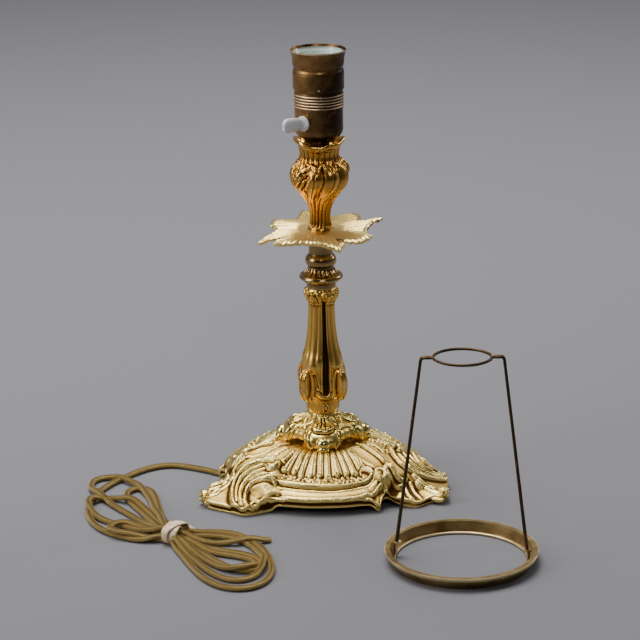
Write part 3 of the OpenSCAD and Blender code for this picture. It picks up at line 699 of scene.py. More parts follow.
for k in range(150):
    p, r = rng.uniform(-31, 33), rng.uniform(61.4, 67.8)
    grains = np.maximum(grains, raised(
        spots, panel_lines([(p, r), (p + rng.uniform(-1.4, 1.4), r + rng.uniform(-1.2, 1.2))]),
        rng.uniform(0.8, 1.3), rng.uniform(0.6, 1.5), (0, 0)))
# Leaves in low relief cover the shoulders between the palmette and the scrolls.
for k in range(8):
    r = 38.0 + 3.3 * k
    for side, lean in ((-41.0, 5.5), (-50.0, -5.0)):
        grains = np.maximum(grains, raised(
            spots, panel_lines([(side, r), (side + lean * 0.6, r + 2.4), (side + lean, r + 2.8)]),
            1.7, 1.3, (0.2, 0.5)))
rosette_turn, rosette_reach = ROSETTE_AT
rosette_ring = [
    (rosette_turn + math.degrees(ROSETTE_R * math.cos(t) / rosette_reach),
     rosette_reach + ROSETTE_R * math.sin(t))
    for t in np.linspace(0, 2 * math.pi, 20)
]
rosette_eye = [ROSETTE_AT, (rosette_turn + 0.2, rosette_reach)]
grains = np.maximum(grains, raised(spots, panel_lines(rosette_ring), 1.1, 1.5, (0, 0)))
grains = np.maximum(grains, raised(spots, panel_lines(rosette_eye), 1.3, 1.2, (0, 0)))

every = (slice(None), None)
plain = drawn(relief_r, every)
lift = np.maximum(ribs, palmette * (ribs <= 0.01)) - dips
lift = lift + np.maximum(tips, grains) * (ribs < 0.6)
lift *= ramp(flute_r, 27.0, 30.0)
top_z = plain + lift.reshape(plain.shape)
last_z = top_z[:, -1]


def level(columns, *rings):
    """The plain round rows of an outline, from (reach, height) pairs."""
    return [(np.full(columns, r), np.full(columns, z)) for r, z in rings]


outline = level(COLUMNS_PER_PANEL, *[(r, CROWN_Z) for r in (BORE_R, 18.0, 22.0, 25.0)])
for k in range(RELIEF_ROWS):
    outline.append((relief_r[:, k], top_z[:, k]))
RIM_STEPS = (
    # how far in from the edge, and the share of the way down to the foot
    (0.3, 0.05), (0.0, 0.14), (0.05, 0.26), (0.5, 0.36), (1.3, 0.48), (1.6, 0.62), (1.2, 0.76),
    (0.7, 0.88), (1.2, 0.96), (2.2, 1.0),
)
for inset, share in RIM_STEPS:
    outline.append((edge_r - inset, last_z + (foot_z - last_z) * share))
inner_r = edge_r - BASE_WALL
outline.append((inner_r + 0.8, foot_z))
outline.append((inner_r, foot_z + 0.8))
inner_r = inner_r - 2
outline.append((inner_r, np.maximum(foot_z + 1, edge_z - BASE_WALL)))
for share in (0.8, 0.6, 0.4, 0.2):
    r = CROWN_R + share * (inner_r - CROWN_R)
    outline.append((r, drawn(r, slice(None)) - BASE_WALL))
outline += level(COLUMNS_PER_PANEL, (CROWN_R, CROWN_Z - BASE_WALL), (BORE_R, CROWN_Z - BASE_WALL))


def shell_around(outline, repeats, first_angle=0.0):
    """Points and faces of a shell whose closed section varies around the axis."""
    reach = np.tile(np.stack([r for r, _ in outline], 1), (repeats, 1))
    height = np.tile(np.stack([z for _, z in outline], 1), (repeats, 1))
    columns, rows = reach.shape
    angle = np.radians(first_angle + np.arange(columns) * 360.0 / columns)[:, None]
    points = np.stack([reach * np.sin(angle), -reach * np.cos(angle), height], 2).reshape(-1, 3)
    c, k = np.meshgrid(np.arange(columns), np.arange(rows), indexing="ij")
    d, n = (c + 1) % columns, (k + 1) % rows
    faces = np.stack([c * rows + k, d * rows + k, d * rows + n, c * rows + n], 2).reshape(-1, 4)
    return points, faces


def weather(piece, deep, turns=10, wall_shade=0.0, also=None):
    """Marks how hollow each spot is: 0 on edges, 0.5 on flat ground and 1 in hollows. Steep and downward
    faces, and whatever also returns, add painted shade.
    """
    data = piece.data
    count = len(data.vertices)
    place, normal = np.zeros(count * 3), np.zeros(count * 3)
    data.vertices.foreach_get("co", place)
    data.vertices.foreach_get("normal", normal)
    place, normal = place.reshape(-1, 3), normal.reshape(-1, 3)
    edges = np.zeros(len(data.edges) * 2, int)
    data.edges.foreach_get("vertices", edges)
    a, b = edges.reshape(-1, 2).T
    ways = np.bincount(a, minlength=count) + np.bincount(b, minlength=count)
    soft = place.copy()
    for turn in range(turns):
        total = np.stack([
            np.bincount(a, soft[b, k], count) + np.bincount(b, soft[a, k], count) for k in range(3)
        ], 1)
        soft = 0.3 * soft + 0.7 * total / np.maximum(ways, 1)[:, None]
    # The wall term is painted shade on steep and downward faces.
    hollow = ((soft - place) * normal).sum(1) / MM / deep + wall_shade * (1 - normal[:, 2])
    if also is not None:
        hollow += also(place / MM)
    mark = data.attributes.new("hollow", "FLOAT", "POINT")
    mark.data.foreach_set("value", np.clip(0.5 + 0.5 * hollow, 0, 1).astype(np.float32))


def join_into(piece, others):
    """Joins other meshes into a piece, which keeps its name."""
    bpy.ops.object.select_all(action="DESELECT")
    for other in others:
        other.select_set(True)
    piece.select_set(True)
    bpy.context.view_layer.objects.active = piece
    bpy.ops.object.join()
    piece.select_set(False)


base_points, base_faces = shell_around(outline, 3, -PANEL / 2)
base_casting = mesh_piece("base_casting", base_points, base_faces)

# Each toe is a tongue that runs out along its foot and curls up at the end.
TOE_ROLL = [
    # distance from the axis, height, half width, half thickness
    (88.0, 13.5, 2.6, 2.0), (95.0, 9.8, 4.2, 2.8), (101.0, 7.6, 4.8, 3.2), (106.0, 6.6, 5.2, 3.3),
    (110.0, 7.0, 5.4, 3.0), (112.6, 9.2, 5.2, 2.6), (112.6, 11.2, 4.6, 2.2), (110.2, 12.2, 4.0, 1.9),
    (108.2, 11.0, 3.2, 1.6),
]
TOE_SIDE = [
    (92.0, 8.0, 1.2, 1.0), (98.0, 5.4, 2.2, 1.9), (104.0, 4.0, 2.6, 2.4), (109.0, 3.6, 2.6, 2.4),
    (112.0, 4.4, 2.0, 1.9), (112.6, 6.0, 1.2, 1.2),
]
TOE_SPREAD = 4.6
UP = np.array([0, 0, 1.0])


def outward(turn):
    """The directions out from the axis and sideways, at a turn in degrees."""
    out_dir = np.array([math.sin(math.radians(turn)), -math.cos(math.radians(turn)), 0.0])
    side_dir = np.array([math.cos(math.radians(turn)), math.sin(math.radians(turn)), 0.0])
    return out_dir, side_dir


toes = []
for k in range(3):
    out_dir, side_dir = outward(PANEL * (k + 0.5))
    toe_up = np.cross(side_dir, out_dir) + 0.5 * out_dir
    for rows, sideways in ((TOE_ROLL, 0.0), (TOE_SIDE, -TOE_SPREAD), (TOE_SIDE, TOE_SPREAD)):
        table = flowing(rows, 0.7)
        line = table[:, :1] * out_dir + table[:, 1:2] * UP + sideways * side_dir
        toes.append(mesh_piece("toe", *sweep(line, table[:, 2], table[:, 3], 20, toe_up)))
join_into(base_casting, toes)
# Painted shade darkens the casting's steep and downward faces as well as its hollows.
weather(base_casting, 0.5, 8, 0.16)


def gilt(name, pale, deep, brown, rough, grain=0.3):
    """Fire-gilt brass: burnished on its edges, deeper on its faces, and brown in its hollows from old
    lacquer and painted shade.
    """
    finish = Finish(name, metallic=1.0)
    hollow = finish.attribute("hollow")
    cloud = finish.noise(38.0, 4.0)
    pit = finish.noise(420.0, 4.0, rough=0.6)
    speck = finish.noise(1100.0, 3.0)
    # The hollow mark carries painted shade as well as real hollows, so the deep and brown colours it picks
    # are partly painted shade.
    worn = finish.span(hollow + (cloud - 0.5) * 0.16, 0.40, 0.60)
    face = finish.mix(worn, rgba(*pale), rgba(*deep))
    dirt_and_shade = finish.span(hollow + (speck - 0.5) * 0.22 + (cloud - 0.5) * 0.1, 0.54, 0.78)
    finish.feed(
        base_color=finish.mix(dirt_and_shade, face, rgba(*brown)),
        roughness=finish.span(hollow + (cloud - 0.5) * 0.3, 0.3, 0.85, rough - 0.1, rough + 0.28),
        normal=finish.bump(pit, grain, 0.0012, finish.bump(speck, grain * 0.7, 0.0004)),
    )
    return finish


base_gilt = gilt("base_gilt", (1.0, 0.78, 0.27), (0.84, 0.54, 0.13), (0.085, 0.035, 0.006), 0.34, 0.5)
base_casting.data.materials.append(base_gilt.material)
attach(base_casting, "lamp")
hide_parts("base")

# ---- the foot flange ----
# A polished gilt casting with four lobes, each ending in a ball, under a skirt of
# leaves that hangs from its neck. It hides the nut's end of the stem.
FLANGE_COLUMNS = 480
LOBE_LINE = [
    (12.2, 61.0), (12.6, 59.5), (13.6, 57.6), (15.6, 55.6), (18.6, 54.0), (22.5, 53.0), (26.5, 52.0),
    (30.3, 50.2), (33.0, 47.6), (34.3, 44.2), (34.0, 40.8), (32.2, 38.2), (28.5, 37.1), (22.0, 37.2),
    (18.0, 36.5),
]
GAP_LINE = [
    (12.2, 61.0), (12.6, 59.5), (13.5, 57.8), (15.2, 55.8), (17.6, 54.2), (20.5, 52.8), (23.5, 51.4),
    (25.8, 49.8), (27.4, 47.8), (27.9, 45.2), (27.4, 43.2), (25.6, 42.0), (23.5, 41.4), (20.0, 40.2),
    (18.0, 36.5),
]
FLANGE_CHART_R = 12.2
LEAF_PLACES = [
    (1.9, 1.7, [(-17, 18), (-20, 23), (-19, 28.2), (-11, 30.2), (0, 30.6), (11, 30.2), (19, 28.2),
                (20, 23), (17, 18)]),
    (1.7, 0.8, [(-9.5, 13.5), (-10, 21), (-9, 27)]),
    (1.7, 0.8, [(0, 13.5), (0, 21), (0, 27.6)]),
    (1.7, 0.8, [(9.5, 13.5), (10, 21), (9, 27)]),
    (2.6, 1.7, [(27, 15), (30, 20), (36, 24.6), (42, 28), (41, 32), (36, 32)]),
    (2.6, 1.7, [(63, 15), (60, 20), (54, 24.6), (48, 28), (49, 32), (54, 32)]),
    (2.3, 1.5, [(22, 31), (24, 37), (22, 43), (17, 48)]),
    (2.3, 1.5, [(-22, 31), (-24, 37), (-22, 43), (-17, 48)]),
    (1.9, 1.2, [(31, 33), (32, 38), (29, 44)]),
    (1.9, 1.2, [(-31, 33), (-32, 38), (-29, 44)]),
]
LEAF_GAPS = [
    (1.0, 1.8, [(-23.5, 20), (-22.5, 29), (-12, 33.0), (0, 33.4), (12, 33.0), (22.5, 29), (23.5, 20)]),
    (0.9, 1.2, [(-4.6, 14), (-4.8, 27)]), (0.9, 1.2, [(4.6, 14), (4.8, 27)]),
    (0.9, 1.4, [(27, 32), (28, 38), (25.5, 45)]), (0.9, 1.4, [(-27, 32), (-28, 38), (-25.5, 45)]),
    (1.4, 1.5, [(45, 14), (45, 23)]),
]
BALL_AT = 33.0
BALL_Z = 42.2


def even_line(line, step, hard=False):
    """A profile's points at even steps: smooth, or with its corners kept."""
    if not hard:
        return flowing([(*p, 0) for p in line], step)[:, :2]
    rows = np.array(line, float)
    run = np.r_[0, np.cumsum(np.linalg.norm(np.diff(rows, axis=0), axis=1))]
    places = np.unique(np.r_[run, np.linspace(0, run[-1], int(run[-1] / step) + 1)].round(3))
    return np.column_stack([np.interp(places, run, rows[:, k]) for k in range(2)])


def pushed(reach, height, lift):
    """Moves a section's points along its outward normal."""
    dr, dz = np.gradient(reach, axis=1), np.gradient(height, axis=1)
    size = np.hypot(dr, dz) * np.sign(height[0, -1] - height[0, 0]) + 1e-9
    return reach + dz / size * lift, height - dr / size * lift


def turned_copies(places, turn, chart_r=None):
    """A trail with its copies round the axis, in plan or on a chart unrolled at chart_r."""
    lines = []
    for k in range(-1, int(round(360 / turn)) + 1):
        if chart_r is None:
            if k < 0 or k * turn >= 360:
                continue
            rows = [(r * math.sin(math.radians(a + k * turn)), r * math.cos(math.radians(a + k * turn)), 0)
                    for a, r in places]
        else:
            rows = [(math.radians(a + k * turn) * chart_r, z, 0) for a, z in places]
        lines.append(flowing(rows, 0.5)[:, :2])
    return lines


FLANGE_ROWS = 96


def in_rows(line, rows):
    """A profile's points shared out over a number of rows."""
    shares = np.linspace(0, 1, rows)
    return np.column_stack([np.interp(shares, np.linspace(0, 1, len(line)), line[:, k]) for k in range(2)])


lobe_rows = in_rows(even_line(LOBE_LINE, 0.4), FLANGE_ROWS)
gap_rows = in_rows(even_line(GAP_LINE, 0.4), FLANGE_ROWS)
flange_run = np.r_[0, np.cumsum(np.linalg.norm(np.diff(lobe_rows, axis=0), axis=1))]
flange_turn = np.arange(FLANGE_COLUMNS) * 360.0 / FLANGE_COLUMNS
from_lobe = np.abs((flange_turn + 45) % 90 - 45)
lobe = (1 - ramp(from_lobe, 14, 40))[:, None]
reach = lobe * lobe_rows[None, :, 0] + (1 - lobe) * gap_rows[None, :, 0]
height = lobe * lobe_rows[None, :, 1] + (1 - lobe) * gap_rows[None, :, 1]
chart = FLANGE_CHART_R + flange_run
spots = np.column_stack([
    (chart[None] * np.sin(np.radians(flange_turn))[:, None]).ravel(),
    (chart[None] * np.cos(np.radians(flange_turn))[:, None]).ravel(),
])
leaves = heaped(spots, LEAF_PLACES, lambda places: turned_copies(places, 90), (0.1, 0.1))
gaps = heaped(spots, LEAF_GAPS, lambda places: turned_copies(places, 90), (0.2, 0.2))
skirt = (1 - ramp(from_lobe, 19, 22))[:, None] * (1 - ramp(chart, 28.5, 30.5))[None]
lift = (leaves - gaps).reshape(reach.shape) + 0.6 * skirt
lift *= ramp(flange_run, 0.2, 2.0)[None]
lift *= 1 - ramp(flange_run, flange_run[-1] - 6, flange_run[-1] - 3)[None]
reach, height = pushed(reach, height, lift)
height = np.maximum(height, CROWN_Z)
outline = [(reach[:, k], height[:, k]) for k in range(reach.shape[1])]
outline += level(FLANGE_COLUMNS, (12.0, CROWN_Z), (6.2, CROWN_Z), (6.2, 48.0), (6.2, 60.6), (9.0, 61.0))
flange_points, flange_faces = shell_around(outline, 1)
flange_casting = mesh_piece("flange_casting", flange_points, flange_faces)


# Each lobe's ball is turned with a ring under it, and hangs over the base.
BALL_LINE = [
    (0.0, 6.6), (2.9, 6.1), (5.2, 4.3), (6.3, 1.6), (6.2, -0.4), (5.6, -1.6), (4.9, -2.0), (5.3, -2.7),
    (5.4, -4.0), (4.6, -5.2), (3.9, -5.6), (3.6, -6.6), (2.2, -7.6), (0.0, -8.0),
]
BALL_SIDES = 40
BALL_LEAN = math.radians(-20)
ball_line = even_line(BALL_LINE, 0.5)
ball_count = len(ball_line)
spin = np.arange(BALL_SIDES) * 2 * math.pi / BALL_SIDES
ball_ring = np.maximum(ball_line[:, 0], 0.0)
ball_points = np.stack([
    ball_ring[None] * np.cos(spin)[:, None], ball_ring[None] * np.sin(spin)[:, None],
    np.repeat(ball_line[None, :, 1], BALL_SIDES, 0)], 2).reshape(-1, 3)
ball_points = ball_points @ np.array(Matrix.Rotation(BALL_LEAN, 3, "X")).T + np.array([0, -BALL_AT, BALL_Z])
ball_faces = []
for c in range(BALL_SIDES):
    here, there = c * ball_count, ((c + 1) % BALL_SIDES) * ball_count
    ball_faces += [(here + s, there + s, there + s + 1, here + s + 1) for s in range(ball_count - 1)]
balls = []
for k in range(4):
    turn = math.radians(90 * k)
    quarter_turn = np.array([
        [math.cos(turn), -math.sin(turn), 0], [math.sin(turn), math.cos(turn), 0], [0, 0, 1]])
    ball = mesh_piece("flange_ball", ball_points @ quarter_turn.T, ball_faces)
    bpy.ops.object.select_all(action="DESELECT")
    ball.select_set(True)
    bpy.ops.object.mode_set(mode="EDIT")
    bpy.ops.mesh.select_all(action="SELECT")
    bpy.ops.mesh.remove_doubles(threshold=0.00002)
    bpy.ops.mesh.normals_make_consistent(inside=False)
    bpy.ops.object.mode_set(mode="OBJECT")
    balls.append(ball)
join_into(flange_casting, balls)
# Painted shade darkens the flange's steep and downward faces as well as its hollows.
weather(flange_casting, 0.6, 10, 0.08)
bright_gilt = gilt("bright_gilt", (1.0, 0.79, 0.25), (0.88, 0.55, 0.10), (0.08, 0.03, 0.004), 0.24, 0.05)
flange_casting.data.materials.clear()
flange_casting.data.materials.append(bright_gilt.material)
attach(flange_casting, "lamp")
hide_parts("foot_flange")

# ---- the column ----
# A gilt baluster cast in one piece: four deep flutes between bundles of reeds, four
# scroll ears round its widest part, and a leafy ring where the collar sits on it.
COLUMN_COLUMNS = 400
COLUMN_LINE = [
    (12.1, 61), (12.5, 63.5), (12.7, 66), (13.0, 70), (13.6, 73.5), (14.3, 77), (14.8, 84),
    (14.7, 92), (14.8, 97), (15.7, 102), (15.6, 105), (14.9, 109), (13.1, 115), (11.4, 124),
    (10.4, 133), (9.8, 142), (9.5, 150), (9.7, 154), (10.5, 156.6), (12.0, 158.8), (12.9, 161.5),
    (12.9, 164), (12.4, 165.8), (11.9, 167),
]
COLUMN_CHART_R = 14.5
FLUTE_AT = 11.0
FLUTE_WIDE = [(60, 9.5), (84, 10.5), (104, 10.0), (130, 8.6), (156, 8.4)]
FLUTE_DEEP = [(60, 2.8), (84, 3.0), (104, 3.6), (130, 2.3), (154, 1.7)]
REED_FOOT = [(0, 78), (8, 79), (12, 81.5), (19, 82.5), (24, 86), (29, 94), (33, 96.5), (45, 96.5)]
# Leaves, rims and the oval boss between the ears, as angles from a flute and heights.
COLUMN_RIBS = [
    (2.8, 1.7, [(-30, 85), (-25, 80.6), (-13, 77.4), (0, 76.6), (13, 77.4), (25, 80.6), (30, 85)]),
    (0.9, 1.0, [(0, 70.6), (8, 69), (9.4, 66.4), (7, 63.6), (0, 62.6), (-7, 63.6), (-9.4, 66.4), (-8, 69),
                (0, 70.6)]),
    (1.5, 0.9, [(0, 67.4), (0, 65.8)]),
    (2.0, 1.6, [(16, 155), (19, 160), (25, 164), (33, 164.5)]),
    (2.0, 1.6, [(-16, 155), (-19, 160), (-25, 164), (-33, 164.5)]),
    (2.2, 1.5, [(30, 155), (33, 159), (36, 161)]),
    (2.2, 1.5, [(-30, 155), (-33, 159), (-36, 161)]),
    (1.9, 1.9, [(45, 154), (45, 160), (45, 165)]),
    (1.6, 1.5, [(-9, 160.6), (0, 164.6), (9, 160.6)]),
    (1.7, 2.0, [(22, 158.6), (22.4, 159.4)]),
    (1.7, 2.0, [(-22, 158.6), (-22.4, 159.4)]),
]
COLUMN_GAPS = [
    (1.2, 1.3, [(25, 157.4), (29, 161), (40, 162.5)]),
    (1.2, 1.3, [(-25, 157.4), (-29, 161), (-40, 162.5)]),
    (1.2, 1.0, [(-14, 164.4), (0, 167.4), (14, 164.4)]),
]

column_line = even_line(COLUMN_LINE, 0.62)
column_z = column_line[:, 1]
column_rows = len(column_line)
quarter = COLUMN_COLUMNS // 4
from_flute = np.arange(quarter) * 90.0 / quarter - 45
away = np.abs(from_flute)[:, None]
flute_wide = read_table(FLUTE_WIDE, column_z, 2.0)[None]
flute_deep = read_table(FLUTE_DEEP, column_z, 2.0)[None]
reed_foot = read_table(REED_FOOT, np.abs(from_flute), 1.5)[:, None]
reeded = ramp(column_z[None], reed_foot - 0.9, reed_foot + 0.7) * (1 - ramp(column_z, 154.5, 158))[None]
flute = flute_deep * np.clip(1 - (away / flute_wide) ** 2, 0, 1) ** 0.75
lip = np.clip(1 - ((away - flute_wide - 3.4) / 4.2) ** 2, 0, 1) ** 0.6 * 1.15
reed_share = np.clip((away - flute_wide - 7.2) / (45 - flute_wide - 7.2), 0, 1)
reeds = 0.3 + 1.0 * np.abs(np.cos(math.pi * reed_share)) ** 0.5
reeds = np.where(away > flute_wide + 6.8, reeds, 0)
flare = 0.9 * np.exp(-((column_z[None] - reed_foot - 4.5) / 5.5) ** 2) * (away > flute_wide)
lift = reeded * (np.maximum(lip, reeds) + flare - flute)
spots = np.column_stack([
    np.repeat(np.radians(from_flute) * COLUMN_CHART_R, column_rows),
    np.tile(column_z, quarter),
])


def column_copies(places):
    """A trail on the column's chart with its copies in the other quarters."""
    return turned_copies(places, 90, COLUMN_CHART_R)


leaves = heaped(spots, COLUMN_RIBS, column_copies, (0.2, 0.2))
gaps = heaped(spots, COLUMN_GAPS, column_copies, (0.2, 0.2))
lift += (leaves - gaps).reshape(quarter, column_rows)
lift *= (ramp(column_z, 61, 62.5) * (1 - ramp(column_z, 165.5, 167)))[None]
reach, height = pushed(
    np.repeat(column_line[None, :, 0], quarter, 0), np.repeat(column_line[None, :, 1], quarter, 0), lift)
outline = [(reach[:, k], height[:, k]) for k in range(column_rows)]
outline += level(quarter, (9.0, 167.0), (6.2, 166.6), (6.2, 61.4), (9.0, 61.0))
column_points, column_faces = shell_around(outline, 4, FLUTE_AT - 45)
column_casting = mesh_piece("column_casting", column_points, column_faces)

# Each ear is a thin plate with a rim along either side, which curls under into a ball.
EAR_AT = 36.0
EAR_BODY = [
    # distance from the axis, height, half width, half depth
    (18.6, 99.0, 0.6, 0.8), (19.0, 97.6, 1.3, 2.6), (19.5, 93.6, 1.8, 4.1), (19.8, 88.5, 1.9, 4.7),
    (19.7, 83.0, 1.9, 4.5), (19.1, 78.0, 1.7, 3.5), (18.5, 75.2, 1.3, 2.2), (18.3, 74.2, 0.6, 0.8),
]
EAR_RIM = [
    # distance from the axis, height, sideways, half thickness
    (18.4, 99.4, 1.6, 1.2), (16.2, 97.0, 2.2, 1.4), (15.2, 92.6, 3.0, 1.7), (15.0, 87.0, 3.4, 1.8),
    (15.3, 81.6, 3.2, 1.7), (16.2, 77.0, 2.6, 1.5), (18.4, 74.4, 2.2, 1.3), (21.0, 75.6, 2.2, 1.1),
    (22.8, 79.0, 2.3, 1.0), (24.2, 84.0, 2.4, 1.0), (24.3, 89.4, 2.4, 1.0), (23.2, 94.4, 2.2, 1.1),
    (21.0, 98.2, 1.8, 1.2), (18.4, 99.4, 1.6, 1.2),
]
EAR_CURL_R = 2.1
EAR_CURL_AT = (17.6, 75.4, 2.9)
ear_body = flowing(EAR_BODY, 0.6)
ear_rim = flowing(EAR_RIM, 0.6)
ears = []
for k in range(4):
    out_dir, side_dir = outward(FLUTE_AT + EAR_AT + 90 * k)
    line = ear_body[:, :1] * out_dir + ear_body[:, 1:2] * UP
    ears.append(mesh_piece("ear", *sweep(line, ear_body[:, 2], ear_body[:, 3], 28, out_dir)))
    for side in (-1, 1):
        line = ear_rim[:, :1] * out_dir + ear_rim[:, 1:2] * UP + side * ear_rim[:, 2:3] * side_dir
        ears.append(mesh_piece("ear", *sweep(line, ear_rim[:, 3], ear_rim[:, 3], 12, side_dir)))
        curl_out, curl_up, curl_side = EAR_CURL_AT
        curl_at = out_dir * curl_out + UP * curl_up + side * curl_side * side_dir
        bpy.ops.mesh.primitive_uv_sphere_add(
            segments=24, ring_count=16, radius=EAR_CURL_R * MM, location=curl_at * MM)
        bpy.ops.object.transform_apply(location=True, rotation=True, scale=True)
        bpy.ops.object.shade_smooth()
        ears.append(bpy.context.active_object)
join_into(column_casting, ears)


def flute_shade(place):
    """Extra painted shade inside the four flutes."""
    turn = np.degrees(np.arctan2(place[:, 0], -place[:, 1])) - FLUTE_AT
    off = np.abs((turn + 45) % 90 - 45)
    wide = np.interp(place[:, 2], *zip(*FLUTE_WIDE))
    high = ramp(place[:, 2], 79, 84) * (1 - ramp(place[:, 2], 152, 158))
    return 0.85 * high * (1 - ramp(off / wide, 0.45, 1.0)) * (np.hypot(place[:, 0], place[:, 1]) < 16.5)


weather(column_casting, 0.5, 10, 0.0, flute_shade)
# A darker, more orange copy of the gilt. This is painted shade and painted gold inter-reflection on the
# upright column.
shaded_column_gilt = gilt("shaded_column_gilt", (0.93, 0.60, 0.15), (0.66, 0.33, 0.05), (0.10, 0.05, 0.010), 0.27, 0.10)
column_casting.data.materials.clear()
column_casting.data.materials.append(shaded_column_gilt.material)
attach(column_casting, "lamp")
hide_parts("column")

# ---- the collar ----
# Turned discs and a waist over the column, with a row of dentils cut round its neck.
COLLAR_COLUMNS = 240
COLLAR_LINE = [
    (11.9, 167), (11.9, 170.6), (12.6, 171.6), (14.5, 172.4), (14.9, 173.0), (15.3, 173.4),
    (16.8, 174.2), (17.6, 175.2), (17.7, 176.0), (17.3, 176.8), (17.2, 177.2), (16.6, 177.9),
    (14.6, 179.0), (12.6, 180.4), (11.2, 182.2), (10.5, 184.0), (10.4, 184.8), (10.9, 185.4),
    (12.0, 186.6), (12.6, 188.6), (12.5, 190.8), (11.7, 192.8), (10.4, 194.2), (9.8, 195.2),
    (9.7, 198), (9.9, 201), (10.9, 205), (13.0, 209.0), (15.4, 211.2), (16, 212.0), (16, 213),
]
DENTILS = 20
collar_line = even_line(COLLAR_LINE, 0.35)
collar_turn = np.arange(COLLAR_COLUMNS) * 360.0 / COLLAR_COLUMNS
tooth = np.abs(((collar_turn * DENTILS / 360.0) % 1.0) - 0.5) * 2
DENTIL_DEEP = 1.1
dentil_band = ramp(collar_line[:, 1], 178.6, 179.4) * (1 - ramp(collar_line[:, 1], 183.0, 184.0))
cut = ramp(tooth, 0.45, 0.75)[:, None] * dentil_band[None]
reach, height = pushed(
    np.repeat(collar_line[None, :, 0], COLLAR_COLUMNS, 0),
    np.repeat(collar_line[None, :, 1], COLLAR_COLUMNS, 0), -DENTIL_DEEP * cut)
outline = [(reach[:, k], height[:, k]) for k in range(len(collar_line))]
outline += level(COLLAR_COLUMNS, (10.0, 213.0), (5.4, 212.6), (5.4, 167.4), (9.0, 167.0))
collar_points, collar_faces = shell_around(outline, 1)
collar_turning = mesh_piece("collar_turning", collar_points, collar_faces)
weather(collar_turning, 0.8)
# The collar's gilt is painted much darker than the rest. This is painted shade under the drip pan.
shaded_collar_gilt = gilt("shaded_collar_gilt", (0.55, 0.37, 0.15), (0.13, 0.075, 0.03), (0.03, 0.012, 0.004), 0.22, 0.05)
collar_turning.data.materials.append(shaded_collar_gilt.material)
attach(collar_turning, "lamp")
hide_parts("collar")

# ---- the drip pan ----
# A cast leaf with four long tongues and four broad lobes, veined on top and left matt.
# The edges of two lobes curl away from their neighbours and leave an eye-shaped hole.
PAN_Z = 213.0
PAN_WALL = 2.6
PAN_SEAT_R = 16.2
LEAF_REACH = 51.5
PAN_COLUMNS = 720
PAN_ROWS = 34
LEAF_EDGE = [
    (-180, 0.82), (-174, 0.85), (-168, 0.93), (-164, 1), (-160, 0.92), (-155, 0.82), (-147, 0.72),
    (-143, 0.8), (-134, 0.9), (-126, 0.93), (-116, 0.88), (-106, 0.74), (-96, 0.70), (-90, 0.74),
    (-83, 0.78), (-80.2, 0.84), (-79.4, 0.96), (-77, 1), (-74.6, 0.96), (-73.8, 0.84), (-70, 0.76),
    (-64, 0.72), (-60, 0.82), (-53, 0.90), (-43, 0.94), (-33, 0.90), (-26, 0.80), (-20, 0.72),
    (-8, 0.71), (-1, 0.75), (5, 0.82), (9, 0.92), (11, 0.88), (14, 0.96), (16.5, 1), (19.5, 0.95),
    (21, 0.88), (25, 0.84), (31, 0.72), (36, 0.82), (42, 0.93), (50, 0.96), (58, 0.93), (64, 0.82),
    (71, 0.72), (84, 0.71), (94, 0.76), (99, 0.82), (101.6, 0.90), (102.6, 0.98), (106, 1),
    (109.6, 0.98), (110.6, 0.90), (113, 0.80), (120, 0.73), (126, 0.73), (132, 0.86), (139, 0.92),
    (147, 0.94), (157, 0.90), (164, 0.80), (170, 0.74), (176, 0.78), (180, 0.82),
]
LEAF_RISE = [
    (-180, 1), (-164, 3), (-140, 0), (-100, -2), (-84, -4), (-77, -9), (-68, -4), (-55, -3),
    (-41, -2), (-20, -1), (4, -2), (16, -4.4), (30, -1), (40, 0), (49, 1), (80, 2), (106, 5.4),
    (130, 2), (180, 1),
]
EYES = [((-57.0, 38.6), 6.6, 2.5, 22.0), ((27.0, 37.0), 5.4, 2.4, -34.0)]
pan_turn = -180 + np.arange(PAN_COLUMNS) * 360.0 / PAN_COLUMNS
leaf_r = LEAF_REACH * read_table(LEAF_EDGE, pan_turn, 0.7)
leaf_r = leaf_r + 0.45 * np.abs(np.sin(np.radians(pan_turn * 180 / 5.2))) * ramp(-leaf_r, -50.4, -46)
leaf_rise = read_table(LEAF_RISE, pan_turn, 1.5) * (leaf_r / LEAF_REACH) ** 2
leaf_t = np.linspace(0, 1, PAN_ROWS) ** 0.9
pan_r = PAN_SEAT_R - 8.0 + leaf_t[None] * (leaf_r[:, None] - PAN_SEAT_R + 8.0)
grown = np.clip((pan_r - PAN_SEAT_R) / (leaf_r[:, None] - PAN_SEAT_R), 0, 1)
lobes_at = np.cos(np.radians(8 * (pan_turn - 11)))[:, None]
vein_turn = pan_turn[:, None] + 5.0 * grown**2 * np.sin(np.radians(4 * (pan_turn - 16)))[:, None]
vein = np.abs(np.sin(np.radians(vein_turn * 180 / 4.4))) ** 0.7
midrib = np.abs(np.sin(np.radians(vein_turn * 180 / 22.5))) ** 0.5
edge_drop = -1.1 * ramp(grown, 0.86, 1.0)
pan_height = (
    PAN_Z + PAN_WALL + leaf_rise[:, None] * grown**2 + edge_drop
    + (0.75 * lobes_at * grown + 0.62 * vein + 0.5 * midrib - 0.8) * ramp(grown, 0.02, 0.3)
)
angle = np.radians(pan_turn)[:, None]
sheet = np.stack([pan_r * np.sin(angle), -pan_r * np.cos(angle), pan_height], 2).reshape(-1, 3)
c, k = np.meshgrid(np.arange(PAN_COLUMNS), np.arange(PAN_ROWS - 1), indexing="ij")
here, there = c * PAN_ROWS + k, ((c + 1) % PAN_COLUMNS) * PAN_ROWS + k
sheet_faces = np.stack([here, here + 1, there + 1, there], 2).reshape(-1, 4)
middle = sheet[sheet_faces].mean(1)
kept = np.ones(len(sheet_faces), bool)
